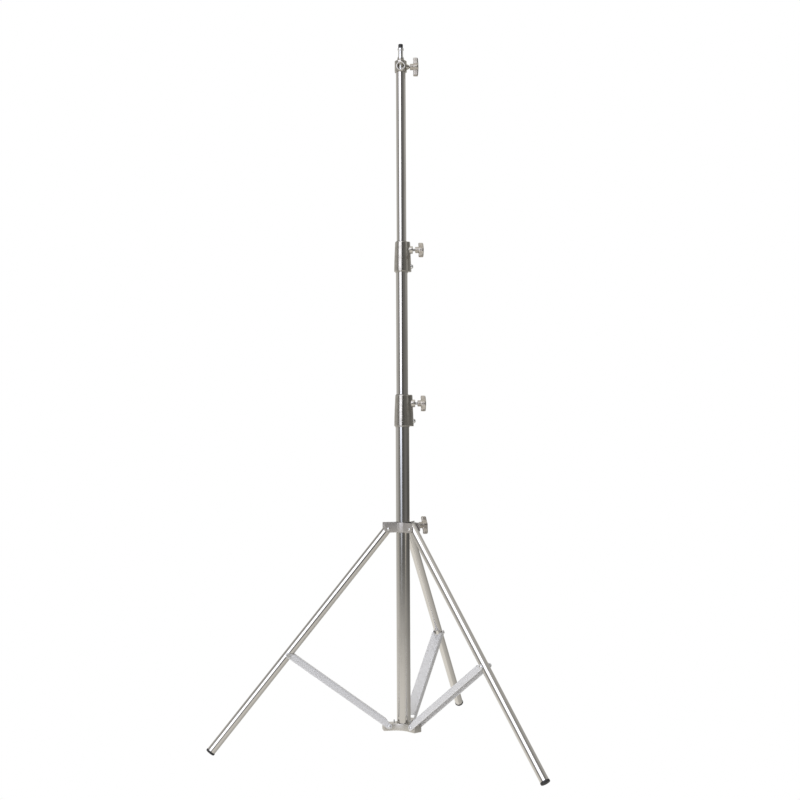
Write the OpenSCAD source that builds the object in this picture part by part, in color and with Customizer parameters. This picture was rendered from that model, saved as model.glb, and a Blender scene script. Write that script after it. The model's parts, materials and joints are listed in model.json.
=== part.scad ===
// Three-section telescopic lighting stand on a folding three-leg base.
// Millimetres. The floor is z = 0, and the column stands on the Z axis.
// Every knob points along +X. The legs are named as seen from -Y: left, right (the nearest) and back.

/* [Tubes] */
// Outside diameter of the fixed column tube
column_od = 35; // [34.6:0.1:35.4]
// Outside diameter of the middle riser tube
middle_od = 30; // [29.6:0.1:30]
// Outside diameter of the top riser tube
top_od = 25; // [24.6:0.1:25]
// Outside diameter of a leg tube
leg_od = 22; // [20:0.5:22]
// Wall of the column tube
column_wall = 1.2; // [1:0.1:1.2]
// Wall of the middle riser tube
middle_wall = 1.1; // [1:0.1:1.1]
// Wall of the top riser and leg tubes
thin_wall = 1; // [0.8:0.1:1.2]

/* [Heights] */
// Underside of the lower collar above the floor
lower_collar_z = 809.5; // [800:0.5:815]
// Height of the lower collar
lower_collar_h = 80.5; // [78:0.5:82]
// Bare length of middle riser between the collars
middle_exposed = 314; // [250:1:420]
// Height of the upper collar
upper_collar_h = 77.5; // [76:0.5:80]
// Bare length of top riser between the upper collar and the head
top_exposed = 435.5; // [430:0.5:520]
// Length of the middle riser tube below the upper collar
middle_tail = 818; // [700:1:818]
// Length of the top riser tube below the head
top_tail = 902; // [800:1:902]

/* [Leg base] */
// Angle between a leg and the vertical
leg_spread = 39.5; // [37:0.5:41]
// Length of a leg from its upper pivot to the face of its foot
leg_length = 704; // [690:1:710]
// Distance from the column axis to the upper and lower pivots
pivot_r = 39.5; // [39:0.5:42]
// Distance along a leg from its upper pivot to the strut bolt
strut_joint = 400; // [380:1:410]
// Height of the strut pivots on the spider
spider_pivot_z = 52.7; // [50:0.1:54]
// Compass direction of the left leg
left_azimuth = 190.7; // [185:0.1:195]

/* [Knobs] */
// Tip to tip width of a knob's wings
knob_span = 48; // [40:1:50]
// Thickness of a knob's wings
knob_thick = 8.5; // [7:0.5:10]
// Radius of a knob's hub
knob_hub_r = 8.2; // [7.5:0.1:9]
// Radius of a knob's screw
screw_r = 3.5; // [3:0.1:3.5]

/* [Hidden] */
$fn = 96;

// Play between pieces that stay together, that turn on each other, and that slide in each other
still_gap = 0.03;
turn_gap = 0.06;
slide_gap = 0.25;

column_r = column_od / 2;
middle_r = middle_od / 2;
top_r = top_od / 2;
leg_r = leg_od / 2;

// Directions of the three legs
right_azimuth = left_azimuth + 120;
back_azimuth = left_azimuth + 240;
yoke_knob_azimuth = left_azimuth + 180;

// Foot cap, whose rounded rim just meets the floor
foot_r = leg_r + 0.8;
foot_lip = 5.5;
foot_round = 2;
foot_end_z = foot_round + (foot_r - foot_round) * sin(leg_spread) - foot_round * cos(leg_spread);

// Upper pivots, strut bolts and the struts between the spider and the bolts
yoke_pivot_z = foot_end_z + leg_length * cos(leg_spread);
strut_run = strut_joint * sin(leg_spread);
strut_rise = yoke_pivot_z - strut_joint * cos(leg_spread) - spider_pivot_z;
strut_length = sqrt(strut_run * strut_run + strut_rise * strut_rise);
strut_lean = atan2(strut_run, strut_rise);

// Spider casting
spider_z = 41.8;
spider_h = 17.4;
arm_half = 12.3;
arm_end = 54;
arm_fillet_start = 33;
column_seat_z = 49.5;
bolt_recess = 4.5;
bolt_recess_r = 8.5;
pin_radius = 1.6;
pin_at = 25;
pin_tall = 8;
pin_deep = 8;

// Rivets and bolts of the base
rivet_r = 3;
rivet_head_r = 4.2;
rivet_head_h = 2;

// Strut channel, measured from the line between its pivots
strut_gap_half = 12.6;
strut_wall = 1.4;
strut_back = 10.5;
strut_front = 6.4;
strut_web_start = 14;
strut_web_stop = 12;
strut_notch = 19;
strut_notch_half = 7;

// Yoke
yoke_below = 9;
yoke_h = 25;
ear_gap_half = 12;
plate_wall = 2.5;
ear_end = 50.5;
ear_cut = 5;
sleeve_in = column_r + slide_gap;
sleeve_out = sleeve_in + 2.2;
plate_in = sleeve_out + still_gap;
yoke_boss_end = 35;
yoke_knob_drop = 7.3;

// Lower collar
lower_seat = 42;
lower_knob_rise = 58.3;
lower_screw_rise = 13.4;
lower_boss_end = 32.8;
lower_bush_r = middle_r + slide_gap + 1;

// Upper collar
upper_collar_z = lower_collar_z + lower_collar_h + middle_exposed;
upper_seat = 38;
upper_knob_rise = 56.2;
upper_screw_rise = 13.7;
upper_boss_end = 28.7;
upper_bush_r = top_r + slide_gap + 1.1;

// Knob geometry along its own axis
hub_length = 22;
wing_start = 7.5;
screw_in_knob = 12;
pad_r = 4.8;
pad_thick = 2.8;
tip_gap = 0.1;

// Head and spigot
head_z = upper_collar_z + upper_collar_h + top_exposed;
head_r = 15.6;
head_shoulder = 28.3;
head_top = 32.2;
neck_top = 35.7;
neck_r = 8.9;
head_plug_r = top_r - thin_wall - still_gap;
head_plug_h = 26;
cross_rise = 12.9;
cross_barrel_r = 12;
cross_reach = 16.4;
head_knob_rise = 14;
head_boss_end = 21.8;
spigot_floor = 5.2;
stud_r = 7.95;
shank_r = 7.5;
waist_r = 6.3;
waist_low = 39.3;
waist_high = 56.9;
spigot_top = 61.8;
thread_r = 4.6;
thread_top = 69.5;
cap_top = 72.7;
cap_r = 6;

// --- helpers -------------------------------------------------------------------------------

// Upright ring between two heights
module ring(r_in, r_out, z0, z1) {
    translate([0, 0, z0])
        difference() {
            cylinder(r = r_out, h = z1 - z0);
            translate([0, 0, -1])
                cylinder(r = r_in, h = z1 - z0 + 2);
        }
}

// Round bar along +X between two distances
module bar_x(r, x0, x1) {
    translate([x0, 0, 0])
        rotate([0, 90, 0])
            cylinder(r = r, h = x1 - x0);
}

// Round bar along Y between two distances
module bar_y(r, y0, y1) {
    translate([0, y1, 0])
        rotate([90, 0, 0])
            cylinder(r = r, h = y1 - y0);
}

// Low domed head that stands on the plane x = 0 and points along +X
module dome_x(r, h) {
    ball_r = (r * r + h * h) / (2 * h);
    rotate([0, 90, 0])
        rotate_extrude()
            intersection() {
                translate([0, h - ball_r])
                    circle(r = ball_r, $fn = 180);
                square([r, h]);
            }
}

// Places children in a leg's own frame: Z runs from the upper pivot down the leg
module along_leg(azimuth) {
    rotate([0, 0, azimuth])
        translate([pivot_r, 0, yoke_pivot_z])
            rotate([0, 180 - leg_spread, 0])
                children();
}

// Places children in a strut's own frame: Z runs from the spider pivot up the strut, X faces outwards
module along_strut(azimuth) {
    rotate([0, 0, azimuth])
        translate([pivot_r, 0, spider_pivot_z])
            rotate([0, strut_lean, 0])
                children();
}

// --- column and spider ---------------------------------------------------------------------

module column_tube() {
    color([0.74, 0.73, 0.70])
        difference() {
            ring(column_r - column_wall, column_r, column_seat_z, lower_collar_z + lower_seat);
            translate([0, 0, lower_collar_z + lower_screw_rise])
                bar_x(2.6, 0, column_r + 1);
        }
}

module column_plug() {
    color([0.12, 0.12, 0.12])
        difference() {
            translate([0, 0, column_seat_z])
                cylinder(r = column_r - column_wall - still_gap, h = 24);
            translate([0, 0, column_seat_z - 1])
                cylinder(r = 4 + still_gap, h = 20);
        }
}

module column_bolt() {
    color([0.55, 0.55, 0.55])
        union() {
            translate([0, 0, spider_z + bolt_recess])
                cylinder(r = 4, h = 20);
            translate([0, 0, spider_z + bolt_recess - 4])
                cylinder(r = 7.5, h = 4, $fn = 6);
        }
}

// Outline of the spider: three arms joined by arcs that touch the arms' sides
module spider_outline() {
    arc_centre = 2 * arm_fillet_start;
    arc_r = arc_centre * sin(60) - arm_half;
    difference() {
        union() {
            circle(r = arm_fillet_start);
            for (azimuth = [left_azimuth, right_azimuth, back_azimuth])
                rotate([0, 0, azimuth])
                    translate([0, -arm_half])
                        square([arm_end, 2 * arm_half]);
        }
        for (azimuth = [left_azimuth, right_azimuth, back_azimuth])
            rotate([0, 0, azimuth + 60])
                translate([arc_centre, 0])
                    circle(r = arc_r, $fn = 180);
    }
}

module spider() {
    color([0.66, 0.64, 0.60])
        difference() {
            translate([0, 0, spider_z])
                linear_extrude(height = spider_h)
                    spider_outline();
            translate([0, 0, column_seat_z])
                cylinder(r = column_r + still_gap, h = spider_h);
            translate([0, 0, spider_z - 1])
                cylinder(r = 4 + still_gap, h = spider_h);
            translate([0, 0, spider_z - 1])
                cylinder(r = bolt_recess_r, h = bolt_recess + 1);
            for (azimuth = [left_azimuth, right_azimuth, back_azimuth])
                rotate([0, 0, azimuth])
                    translate([pivot_r, 0, spider_pivot_z])
                        bar_y(rivet_r + still_gap, -20, 20);
            for (azimuth = [left_azimuth, right_azimuth, back_azimuth])
                rotate([0, 0, azimuth])
                    translate([pin_at, 0, spider_z + spider_h - pin_deep - still_gap])
                        cylinder(r = pin_radius + still_gap, h = pin_deep + 1);
        }
}

// Short upright pins on the arms, close to the column
module spider_pins() {
    color([0.78, 0.78, 0.78])
        for (azimuth = [left_azimuth, right_azimuth, back_azimuth])
            rotate([0, 0, azimuth])
                translate([pin_at, 0, spider_z + spider_h - pin_deep]) {
                    cylinder(r = pin_radius, h = pin_deep + pin_tall - 0.5);
                    translate([0, 0, pin_deep + pin_tall - 0.5])
                        cylinder(r1 = pin_radius, r2 = pin_radius - 0.5, h = 0.5);
                }
}

// Cross rivet with a domed head at each end, centred on the origin
module cross_rivet(half_grip) {
    bar_y(rivet_r, -half_grip, half_grip);
    for (side = [-1, 1])
        rotate([0, 0, side * 90])
            translate([half_grip, 0, 0])
                dome_x(rivet_head_r, rivet_head_h);
}

module spider_rivets() {
    color([0.78, 0.78, 0.78])
        for (azimuth = [left_azimuth, right_azimuth, back_azimuth])
            rotate([0, 0, azimuth])
                translate([pivot_r, 0, spider_pivot_z])
                    cross_rivet(strut_gap_half + strut_wall + 0.2);
}

// --- knobs ---------------------------------------------------------------------------------

// Outline of a knob's wings in the plane of its axis (X) and its span (Y)
module wing_outline() {
    outer_r = 180;
    flank_r = 30;
    intersection() {
        difference() {
            translate([wing_start, -knob_span / 2])
                square([hub_length - wing_start, knob_span]);
            for (side = [-1, 1])
                translate([wing_start + 1.5 - flank_r, side * knob_span / 3])
                    circle(r = flank_r, $fn = 180);
        }
        translate([hub_length - outer_r, 0])
            circle(r = outer_r, $fn = 360);
    }
}

// T-shaped knob whose hub starts at hub_x on the X axis, with its wings turned about that axis
module t_knob(hub_x, turn) {
    translate([hub_x, 0, 0])
        rotate([turn, 0, 0])
            difference() {
                union() {
                    bar_x(knob_hub_r, 0, hub_length - 1);
                    rotate([90, 0, 0])
                        translate([0, 0, -knob_thick / 2])
                            linear_extrude(height = knob_thick)
                                wing_outline();
                }
                bar_x(screw_r + still_gap, -1, screw_in_knob);
            }
}

// Clamp screw from its tip to its end inside the knob
module clamp_screw(tip_x, hub_x) {
    bar_x(screw_r, tip_x, hub_x + screw_in_knob);
}

// Soft pad between a clamp screw and the round bar of radius bar_r that it holds
module pressure_pad(bar_r) {
    difference() {
        bar_x(pad_r, 0, bar_r + slide_gap + pad_thick);
        translate([0, 0, -2 * pad_r])
            cylinder(r = bar_r + slide_gap, h = 4 * pad_r);
    }
}

// --- collars -------------------------------------------------------------------------------

// Collar casting: a tapered barrel, a tapered rib along its +X side, a knob boss and a lip below.
// The seat takes the tube below, and the bush bore takes the liner for the riser above.
module collar(height, barrel_low, barrel_high, rib_x, rib_low, rib_high,
              seat_r, seat_h, bush_r, grip_r, knob_rise, boss_end, screw_rise) {
    lip = 2.2;
    difference() {
        union() {
            cylinder(r1 = barrel_low, r2 = barrel_high, h = height - 2);
            translate([0, 0, height - 2])
                cylinder(r1 = barrel_high, r2 = barrel_high - 1, h = 2);
            translate([0, 0, -lip])
                cylinder(r = seat_r + 1, h = lip + 1);
            translate([rib_x, 0, 0])
                cylinder(r1 = rib_low, r2 = rib_high, h = height - 2);
            translate([rib_x, 0, height - 2])
                cylinder(r1 = rib_high, r2 = rib_high - 1.5, h = 2);
            translate([0, 0, knob_rise])
                bar_x(9.8, rib_x, boss_end);
        }
        translate([0, 0, -lip - 1])
            cylinder(r = seat_r + still_gap, h = lip + 1 + seat_h);
        translate([0, 0, seat_h - 1])
            cylinder(r = bush_r + still_gap, h = height);
        translate([0, 0, knob_rise])
            bar_x(pad_r + still_gap, 0, grip_r + slide_gap + pad_thick + tip_gap);
        translate([0, 0, knob_rise])
            bar_x(screw_r + turn_gap, 0, boss_end + 1);
        translate([0, 0, screw_rise])
            bar_x(2.5 + still_gap, 0, rib_x + rib_low + 1);
    }
}

// Liner of a collar with a window for its pressure pad
module collar_bush(r_in, r_out, z0, z1, pad_z) {
    difference() {
        ring(r_in, r_out, z0, z1);
        translate([0, 0, pad_z])
            bar_x(pad_r + still_gap, 0, r_out + 1);
    }
}

// Domed screw that holds a collar to the tube in its seat
module collar_screw(tip_x, face_x) {
    bar_x(2.5, tip_x, face_x);
    translate([face_x, 0, 0])
        dome_x(6, 5.5);
}

// Outer face of a collar's rib at the height of its domed screw
function rib_face(rib_x, rib_low, rib_high, height, rise) =
    rib_x + rib_low + (rib_high - rib_low) * rise / (height - 2);

module lower_collar() {
    color([0.60, 0.58, 0.54])
        translate([0, 0, lower_collar_z])
            collar(lower_collar_h, column_r + 3.4, middle_r + 2.9, 17, 11.8, 8.8,
                   column_r, lower_seat, lower_bush_r, middle_r,
                   lower_knob_rise, lower_boss_end, lower_screw_rise);
}

module lower_collar_screw() {
    color([0.60, 0.60, 0.58])
        translate([0, 0, lower_collar_z + lower_screw_rise])
            collar_screw(column_r - column_wall + 0.1,
                         rib_face(17, 11.8, 8.8, lower_collar_h, lower_screw_rise) + 0.35);
}

module lower_collar_bush() {
    color([0.14, 0.14, 0.14])
        collar_bush(middle_r + slide_gap, lower_bush_r,
                    lower_collar_z + lower_seat + still_gap,
                    lower_collar_z + lower_collar_h + 0.8, lower_collar_z + lower_knob_rise);
}

module lower_pressure_pad() {
    color([0.14, 0.14, 0.14])
        translate([0, 0, lower_collar_z + lower_knob_rise])
            pressure_pad(middle_r);
}

module lower_knob() {
    color([0.60, 0.58, 0.54])
        translate([0, 0, lower_collar_z + lower_knob_rise])
            t_knob(38.7, -40);
}

module lower_knob_screw() {
    color([0.75, 0.75, 0.75])
        translate([0, 0, lower_collar_z + lower_knob_rise])
            clamp_screw(middle_r + slide_gap + pad_thick + tip_gap, 38.7);
}

module upper_collar() {
    color([0.60, 0.58, 0.54])
        translate([0, 0, upper_collar_z])
            collar(upper_collar_h, middle_r + 4.3, top_r + 4, 14.5, 10.3, 7.2,
                   middle_r, upper_seat, upper_bush_r, top_r,
                   upper_knob_rise, upper_boss_end, upper_screw_rise);
}

module upper_collar_screw() {
    color([0.60, 0.60, 0.58])
        translate([0, 0, upper_collar_z + upper_screw_rise])
            collar_screw(middle_r - middle_wall + 0.1,
                         rib_face(14.5, 10.3, 7.2, upper_collar_h, upper_screw_rise) + 0.35);
}

module upper_collar_bush() {
    color([0.14, 0.14, 0.14])
        collar_bush(top_r + slide_gap, upper_bush_r,
                    upper_collar_z + upper_seat + still_gap,
                    upper_collar_z + upper_collar_h + 0.8, upper_collar_z + upper_knob_rise);
}

module upper_pressure_pad() {
    color([0.14, 0.14, 0.14])
        translate([0, 0, upper_collar_z + upper_knob_rise])
            pressure_pad(top_r);
}

module upper_knob() {
    color([0.60, 0.58, 0.54])
        translate([0, 0, upper_collar_z + upper_knob_rise])
            t_knob(34.8, -40);
}

module upper_knob_screw() {
    color([0.75, 0.75, 0.75])
        translate([0, 0, upper_collar_z + upper_knob_rise])
            clamp_screw(top_r + slide_gap + pad_thick + tip_gap, 34.8);
}

// --- risers --------------------------------------------------------------------------------

// Guide bush on the outside of a riser's lower end
module riser_bush(tube_r, outer_r, z0) {
    ring(tube_r + still_gap, outer_r - slide_gap, z0, z0 + 28);
}

module middle_tube() {
    color([0.72, 0.72, 0.72])
        difference() {
            ring(middle_r - middle_wall, middle_r,
                 upper_collar_z - middle_tail, upper_collar_z + upper_seat);
            translate([0, 0, upper_collar_z + upper_screw_rise])
                bar_x(2.6, 0, middle_r + 1);
        }
}

module middle_tube_bush() {
    color([0.14, 0.14, 0.14])
        riser_bush(middle_r, column_r - column_wall, upper_collar_z - middle_tail);
}

module top_tube() {
    color([0.72, 0.72, 0.72])
        difference() {
            ring(top_r - thin_wall, top_r, head_z - top_tail, head_z);
            translate([0, 0, head_z - 14])
                bar_x(2 + still_gap, -top_r - 1, top_r + 1);
        }
}

module top_tube_bush() {
    color([0.14, 0.14, 0.14])
        riser_bush(top_r, middle_r - middle_wall, head_z - top_tail);
}

// --- head, spigot and cap ------------------------------------------------------------------

module head() {
    color([0.62, 0.60, 0.56])
        translate([0, 0, head_z])
            difference() {
                union() {
                    cylinder(r = head_r, h = head_shoulder);
                    translate([0, 0, head_shoulder])
                        cylinder(r1 = head_r, r2 = neck_r, h = head_top - head_shoulder);
                    cylinder(r = neck_r, h = neck_top);
                    translate([0, 0, -head_plug_h])
                        cylinder(r = head_plug_r, h = head_plug_h + 1);
                    translate([0, 0, cross_rise])
                        bar_y(cross_barrel_r, -cross_reach, cross_reach);
                    translate([10, 0, head_knob_rise])
                        rotate([0, 90, 0])
                            cylinder(r1 = 10, r2 = 4.6, h = head_boss_end - 10);
                }
                translate([0, 0, spigot_floor])
                    cylinder(r = shank_r + turn_gap, h = neck_top);
                translate([0, 0, cross_rise])
                    bar_y(8.1, -cross_reach - 1, cross_reach + 1);
                translate([0, 0, head_knob_rise])
                    bar_x(screw_r + turn_gap, 0, head_boss_end + 1);
                translate([0, 0, -14])
                    bar_x(2 + still_gap, -top_r - 1, top_r + 1);
            }
}

module head_pin() {
    color([0.70, 0.70, 0.70])
        translate([0, 0, head_z - 14])
            bar_x(2, -top_r + 0.1, top_r - 0.1);
}

module head_knob() {
    color([0.60, 0.58, 0.54])
        translate([0, 0, head_z + head_knob_rise])
            t_knob(23.6, -5);
}

module head_knob_screw() {
    color([0.75, 0.75, 0.75])
        translate([0, 0, head_z + head_knob_rise])
            clamp_screw(8.2, 23.6);
}

module spigot() {
    color([0.80, 0.80, 0.80])
        translate([0, 0, head_z])
            rotate_extrude()
                polygon([
                    [0, spigot_floor], [shank_r - 0.6, spigot_floor], [shank_r, spigot_floor + 0.6],
                    [shank_r, neck_top], [stud_r, neck_top], [stud_r, waist_low],
                    [waist_r, waist_low + 1], [waist_r, waist_high - 1], [stud_r, waist_high],
                    [stud_r, spigot_top - 0.6], [stud_r - 0.6, spigot_top],
                    [thread_r, spigot_top], [thread_r, thread_top], [0, thread_top]
                ]);
}

module thread_cap() {
    color([0.10, 0.10, 0.10])
        translate([0, 0, head_z])
            difference() {
                union() {
                    translate([0, 0, spigot_top + 0.05])
                        cylinder(r = cap_r, h = cap_top - spigot_top - 1.2);
                    translate([0, 0, cap_top - 1.15])
                        cylinder(r1 = cap_r, r2 = cap_r - 1, h = 1.15);
                }
                translate([0, 0, spigot_top - 1])
                    cylinder(r = thread_r + turn_gap, h = thread_top - spigot_top + 1.1);
            }
}

// --- yoke ----------------------------------------------------------------------------------

// Plan of one pressed plate, from the ear of the leg at azimuth 0 to the ear of the leg at 120
module plate_outline() {
    ear_root = sqrt(plate_in * plate_in - ear_gap_half * ear_gap_half);
    bend = asin(ear_gap_half / plate_in);
    difference() {
        union() {
            intersection() {
                circle(r = plate_in + plate_wall);
                polygon([[0, 0], 60 * [cos(bend), sin(bend)], 60 * [cos(60), sin(60)],
                         60 * [cos(120 - bend), sin(120 - bend)]]);
            }
            translate([ear_root, ear_gap_half])
                square([ear_end - ear_root, plate_wall]);
            rotate([0, 0, 120])
                translate([ear_root, -ear_gap_half - plate_wall])
                    square([ear_end - ear_root, plate_wall]);
        }
        circle(r = plate_in);
    }
}

// Pressed plate with two ears, their rivet holes and their cut lower corners
module yoke_plate(azimuth, holed = false) {
    color([0.68, 0.66, 0.62])
        rotate([0, 0, azimuth])
            difference() {
                translate([0, 0, yoke_pivot_z - yoke_below])
                    linear_extrude(height = yoke_h)
                        plate_outline();
                for (turn = [0, 120])
                    rotate([0, 0, turn])
                        translate([0, 0, yoke_pivot_z]) {
                            translate([pivot_r, 0, 0])
                                bar_y(rivet_r + still_gap, -16, 16);
                            translate([ear_end, 0, -yoke_below])
                                rotate([0, 45, 0])
                                    cube([ear_cut * sqrt(2), 36, ear_cut * sqrt(2)], center = true);
                        }
                if (holed)
                    rotate([0, 0, 60])
                        translate([0, 0, yoke_pivot_z + yoke_knob_drop])
                            bar_x(pad_r + 1, 0, 40);
            }
}

module yoke_plate_front() {
    yoke_plate(left_azimuth);
}

module yoke_plate_right() {
    yoke_plate(right_azimuth, true);
}

module yoke_plate_rear() {
    yoke_plate(back_azimuth);
}

module yoke_sleeve() {
    color([0.14, 0.14, 0.14])
        difference() {
            ring(sleeve_in, sleeve_out, yoke_pivot_z - yoke_below - 0.5,
                 yoke_pivot_z - yoke_below + yoke_h + 0.5);
            rotate([0, 0, yoke_knob_azimuth])
                translate([0, 0, yoke_pivot_z + yoke_knob_drop])
                    bar_x(pad_r + still_gap, 0, 30);
        }
}

// Short headed rivets, one in each ear
module yoke_rivets() {
    color([0.78, 0.78, 0.78])
        for (azimuth = [left_azimuth, right_azimuth, back_azimuth], side = [-1, 1])
            rotate([0, 0, azimuth])
                translate([pivot_r, 0, yoke_pivot_z])
                    rotate([0, 0, side * 90]) {
                        bar_x(rivet_r, ear_gap_half, ear_gap_half + plate_wall);
                        translate([ear_gap_half + plate_wall, 0, 0])
                            dome_x(rivet_head_r, rivet_head_h);
                    }
}

// Threaded boss on the right-hand plate
module yoke_boss() {
    seat_x = plate_in + plate_wall;
    color([0.66, 0.64, 0.60])
        rotate([0, 0, yoke_knob_azimuth])
            translate([0, 0, yoke_pivot_z + yoke_knob_drop])
                difference() {
                    bar_x(8, seat_x - 2, yoke_boss_end);
                    translate([0, 0, -20])
                        cylinder(r = seat_x + turn_gap, h = 40);
                    bar_x(screw_r + turn_gap, 0, yoke_boss_end + 1);
                }
}

module yoke_pressure_pad() {
    color([0.14, 0.14, 0.14])
        rotate([0, 0, yoke_knob_azimuth])
            translate([0, 0, yoke_pivot_z + yoke_knob_drop])
                pressure_pad(column_r);
}

module yoke_knob() {
    color([0.60, 0.58, 0.54])
        rotate([0, 0, yoke_knob_azimuth])
            translate([0, 0, yoke_pivot_z + yoke_knob_drop])
                t_knob(41.5, -33);
}

module yoke_knob_screw() {
    color([0.75, 0.75, 0.75])
        rotate([0, 0, yoke_knob_azimuth])
            translate([0, 0, yoke_pivot_z + yoke_knob_drop])
                clamp_screw(column_r + slide_gap + pad_thick + tip_gap, 41.5);
}

// --- struts --------------------------------------------------------------------------------

// Side outline of a strut in its own frame, X across and Y along it. Its straight edges start a
// little inside the round ends, so that they cross them cleanly.
module strut_outline() {
    edge = strut_front - 0.1;
    polygon([
        [-edge, 0], [-strut_back, strut_web_start],
        [-strut_back, strut_length - strut_web_stop], [-edge, strut_length],
        [edge, strut_length], [edge, 0]
    ]);
}

// Pressed channel that straddles the spider arm and the leg. Its web is cut back at both ends.
module strut(azimuth) {
    half = strut_gap_half + strut_wall;
    web_in = strut_back - strut_wall;
    color([0.84, 0.84, 0.83])
        along_strut(azimuth)
            difference() {
                union() {
                    translate([0, half, 0])
                        rotate([90, 0, 0])
                            linear_extrude(height = 2 * half)
                                strut_outline();
                    for (z = [0, strut_length])
                        translate([0, 0, z])
                            bar_y(strut_front, -half, half);
                }
                translate([-web_in, -strut_gap_half, -20])
                    cube([60, 2 * strut_gap_half, strut_length + 40]);
                translate([-20, -strut_gap_half, -20])
                    cube([40, 2 * strut_gap_half, 20 + strut_web_start]);
                translate([-20, -strut_gap_half, strut_length - strut_web_stop])
                    cube([40, 2 * strut_gap_half, 40]);
                translate([-20, -strut_notch_half, strut_length - strut_notch])
                    cube([40, 2 * strut_notch_half, 40]);
                for (z = [0, strut_length])
                    translate([0, 0, z])
                        bar_y(rivet_r + turn_gap, -20, 20);
            }
}

module strut_bolt(azimuth) {
    face = strut_gap_half + strut_wall + still_gap;
    color([0.78, 0.78, 0.78])
        along_strut(azimuth)
            translate([0, 0, strut_length])
                union() {
                    bar_y(rivet_r, -face, face + 5);
                    rotate([0, 0, -90])
                        translate([face, 0, 0])
                            dome_x(5, 3);
                }
}

module strut_nut(azimuth) {
    face = strut_gap_half + strut_wall + still_gap;
    color([0.70, 0.70, 0.70])
        along_strut(azimuth)
            translate([0, 0, strut_length])
                difference() {
                    translate([0, face + 4, 0])
                        rotate([90, 0, 0])
                            cylinder(r = 5.6, h = 4, $fn = 6);
                    bar_y(rivet_r + still_gap, face - 1, face + 5);
                }
}

module left_strut() {
    strut(left_azimuth);
}

module left_strut_bolt() {
    strut_bolt(left_azimuth);
}

module left_strut_nut() {
    strut_nut(left_azimuth);
}

module right_strut() {
    strut(right_azimuth);
}

module right_strut_bolt() {
    strut_bolt(right_azimuth);
}

module right_strut_nut() {
    strut_nut(right_azimuth);
}

module back_strut() {
    strut(back_azimuth);
}

module back_strut_bolt() {
    strut_bolt(back_azimuth);
}

module back_strut_nut() {
    strut_nut(back_azimuth);
}

// --- legs ----------------------------------------------------------------------------------

leg_overrun = 11;
plug_rim = 1.2;

module leg_tube(azimuth) {
    color([0.76, 0.75, 0.72])
        along_leg(azimuth)
            difference() {
                ring(leg_r - thin_wall, leg_r, -leg_overrun, leg_length - foot_lip);
                for (z = [0, strut_joint])
                    translate([0, 0, z])
                        bar_y(rivet_r + turn_gap, -leg_r - 1, leg_r + 1);
            }
}

module leg_plug(azimuth) {
    color([0.12, 0.12, 0.12])
        along_leg(azimuth)
            union() {
                translate([0, 0, -leg_overrun - plug_rim])
                    cylinder(r = leg_r - 0.4, h = plug_rim);
                translate([0, 0, -leg_overrun])
                    ring(leg_r - thin_wall - 2, leg_r - thin_wall - still_gap, 0, 6);
            }
}

module foot(azimuth) {
    color([0.10, 0.10, 0.10])
        along_leg(azimuth)
            union() {
                translate([0, 0, leg_length - foot_lip])
                    rotate_extrude()
                        union() {
                            square([foot_r, foot_lip - foot_round]);
                            square([foot_r - foot_round, foot_lip]);
                            translate([foot_r - foot_round, foot_lip - foot_round])
                                circle(r = foot_round, $fn = 48);
                        }
                translate([0, 0, leg_length - foot_lip - 24])
                    cylinder(r = leg_r - thin_wall - still_gap, h = 25);
            }
}

module left_leg_tube() {
    leg_tube(left_azimuth);
}

module left_leg_plug() {
    leg_plug(left_azimuth);
}

module left_foot() {
    foot(left_azimuth);
}

module right_leg_tube() {
    leg_tube(right_azimuth);
}

module right_leg_plug() {
    leg_plug(right_azimuth);
}

module right_foot() {
    foot(right_azimuth);
}

module back_leg_tube() {
    leg_tube(back_azimuth);
}

module back_leg_plug() {
    leg_plug(back_azimuth);
}

module back_foot() {
    foot(back_azimuth);
}

// --- nodes ---------------------------------------------------------------------------------

column_tube();
column_plug();
column_bolt();
spider();
spider_rivets();
spider_pins();
lower_collar();
lower_collar_screw();
lower_collar_bush();
lower_pressure_pad();
lower_knob();
lower_knob_screw();
middle_tube();
middle_tube_bush();
upper_collar();
upper_collar_screw();
upper_collar_bush();
upper_pressure_pad();
upper_knob();
upper_knob_screw();
top_tube();
top_tube_bush();
head();
head_pin();
head_knob();
head_knob_screw();
spigot();
thread_cap();
yoke_plate_front();
yoke_plate_right();
yoke_plate_rear();
yoke_sleeve();
yoke_rivets();
yoke_boss();
yoke_pressure_pad();
yoke_knob();
yoke_knob_screw();
left_strut();
left_strut_bolt();
left_strut_nut();
right_strut();
right_strut_bolt();
right_strut_nut();
back_strut();
back_strut_bolt();
back_strut_nut();
left_leg_tube();
left_leg_plug();
left_foot();
right_leg_tube();
right_leg_plug();
right_foot();
back_leg_tube();
back_leg_plug();
back_foot();
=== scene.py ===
"""Looks of a three-section lighting stand on a folding three-leg base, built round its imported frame."""

import json
import logging
import math
from dataclasses import dataclass
from enum import Enum
from typing import Any, Callable, Sequence

import bmesh
import bpy
import numpy as np
from mathutils import Matrix, Vector


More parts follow.
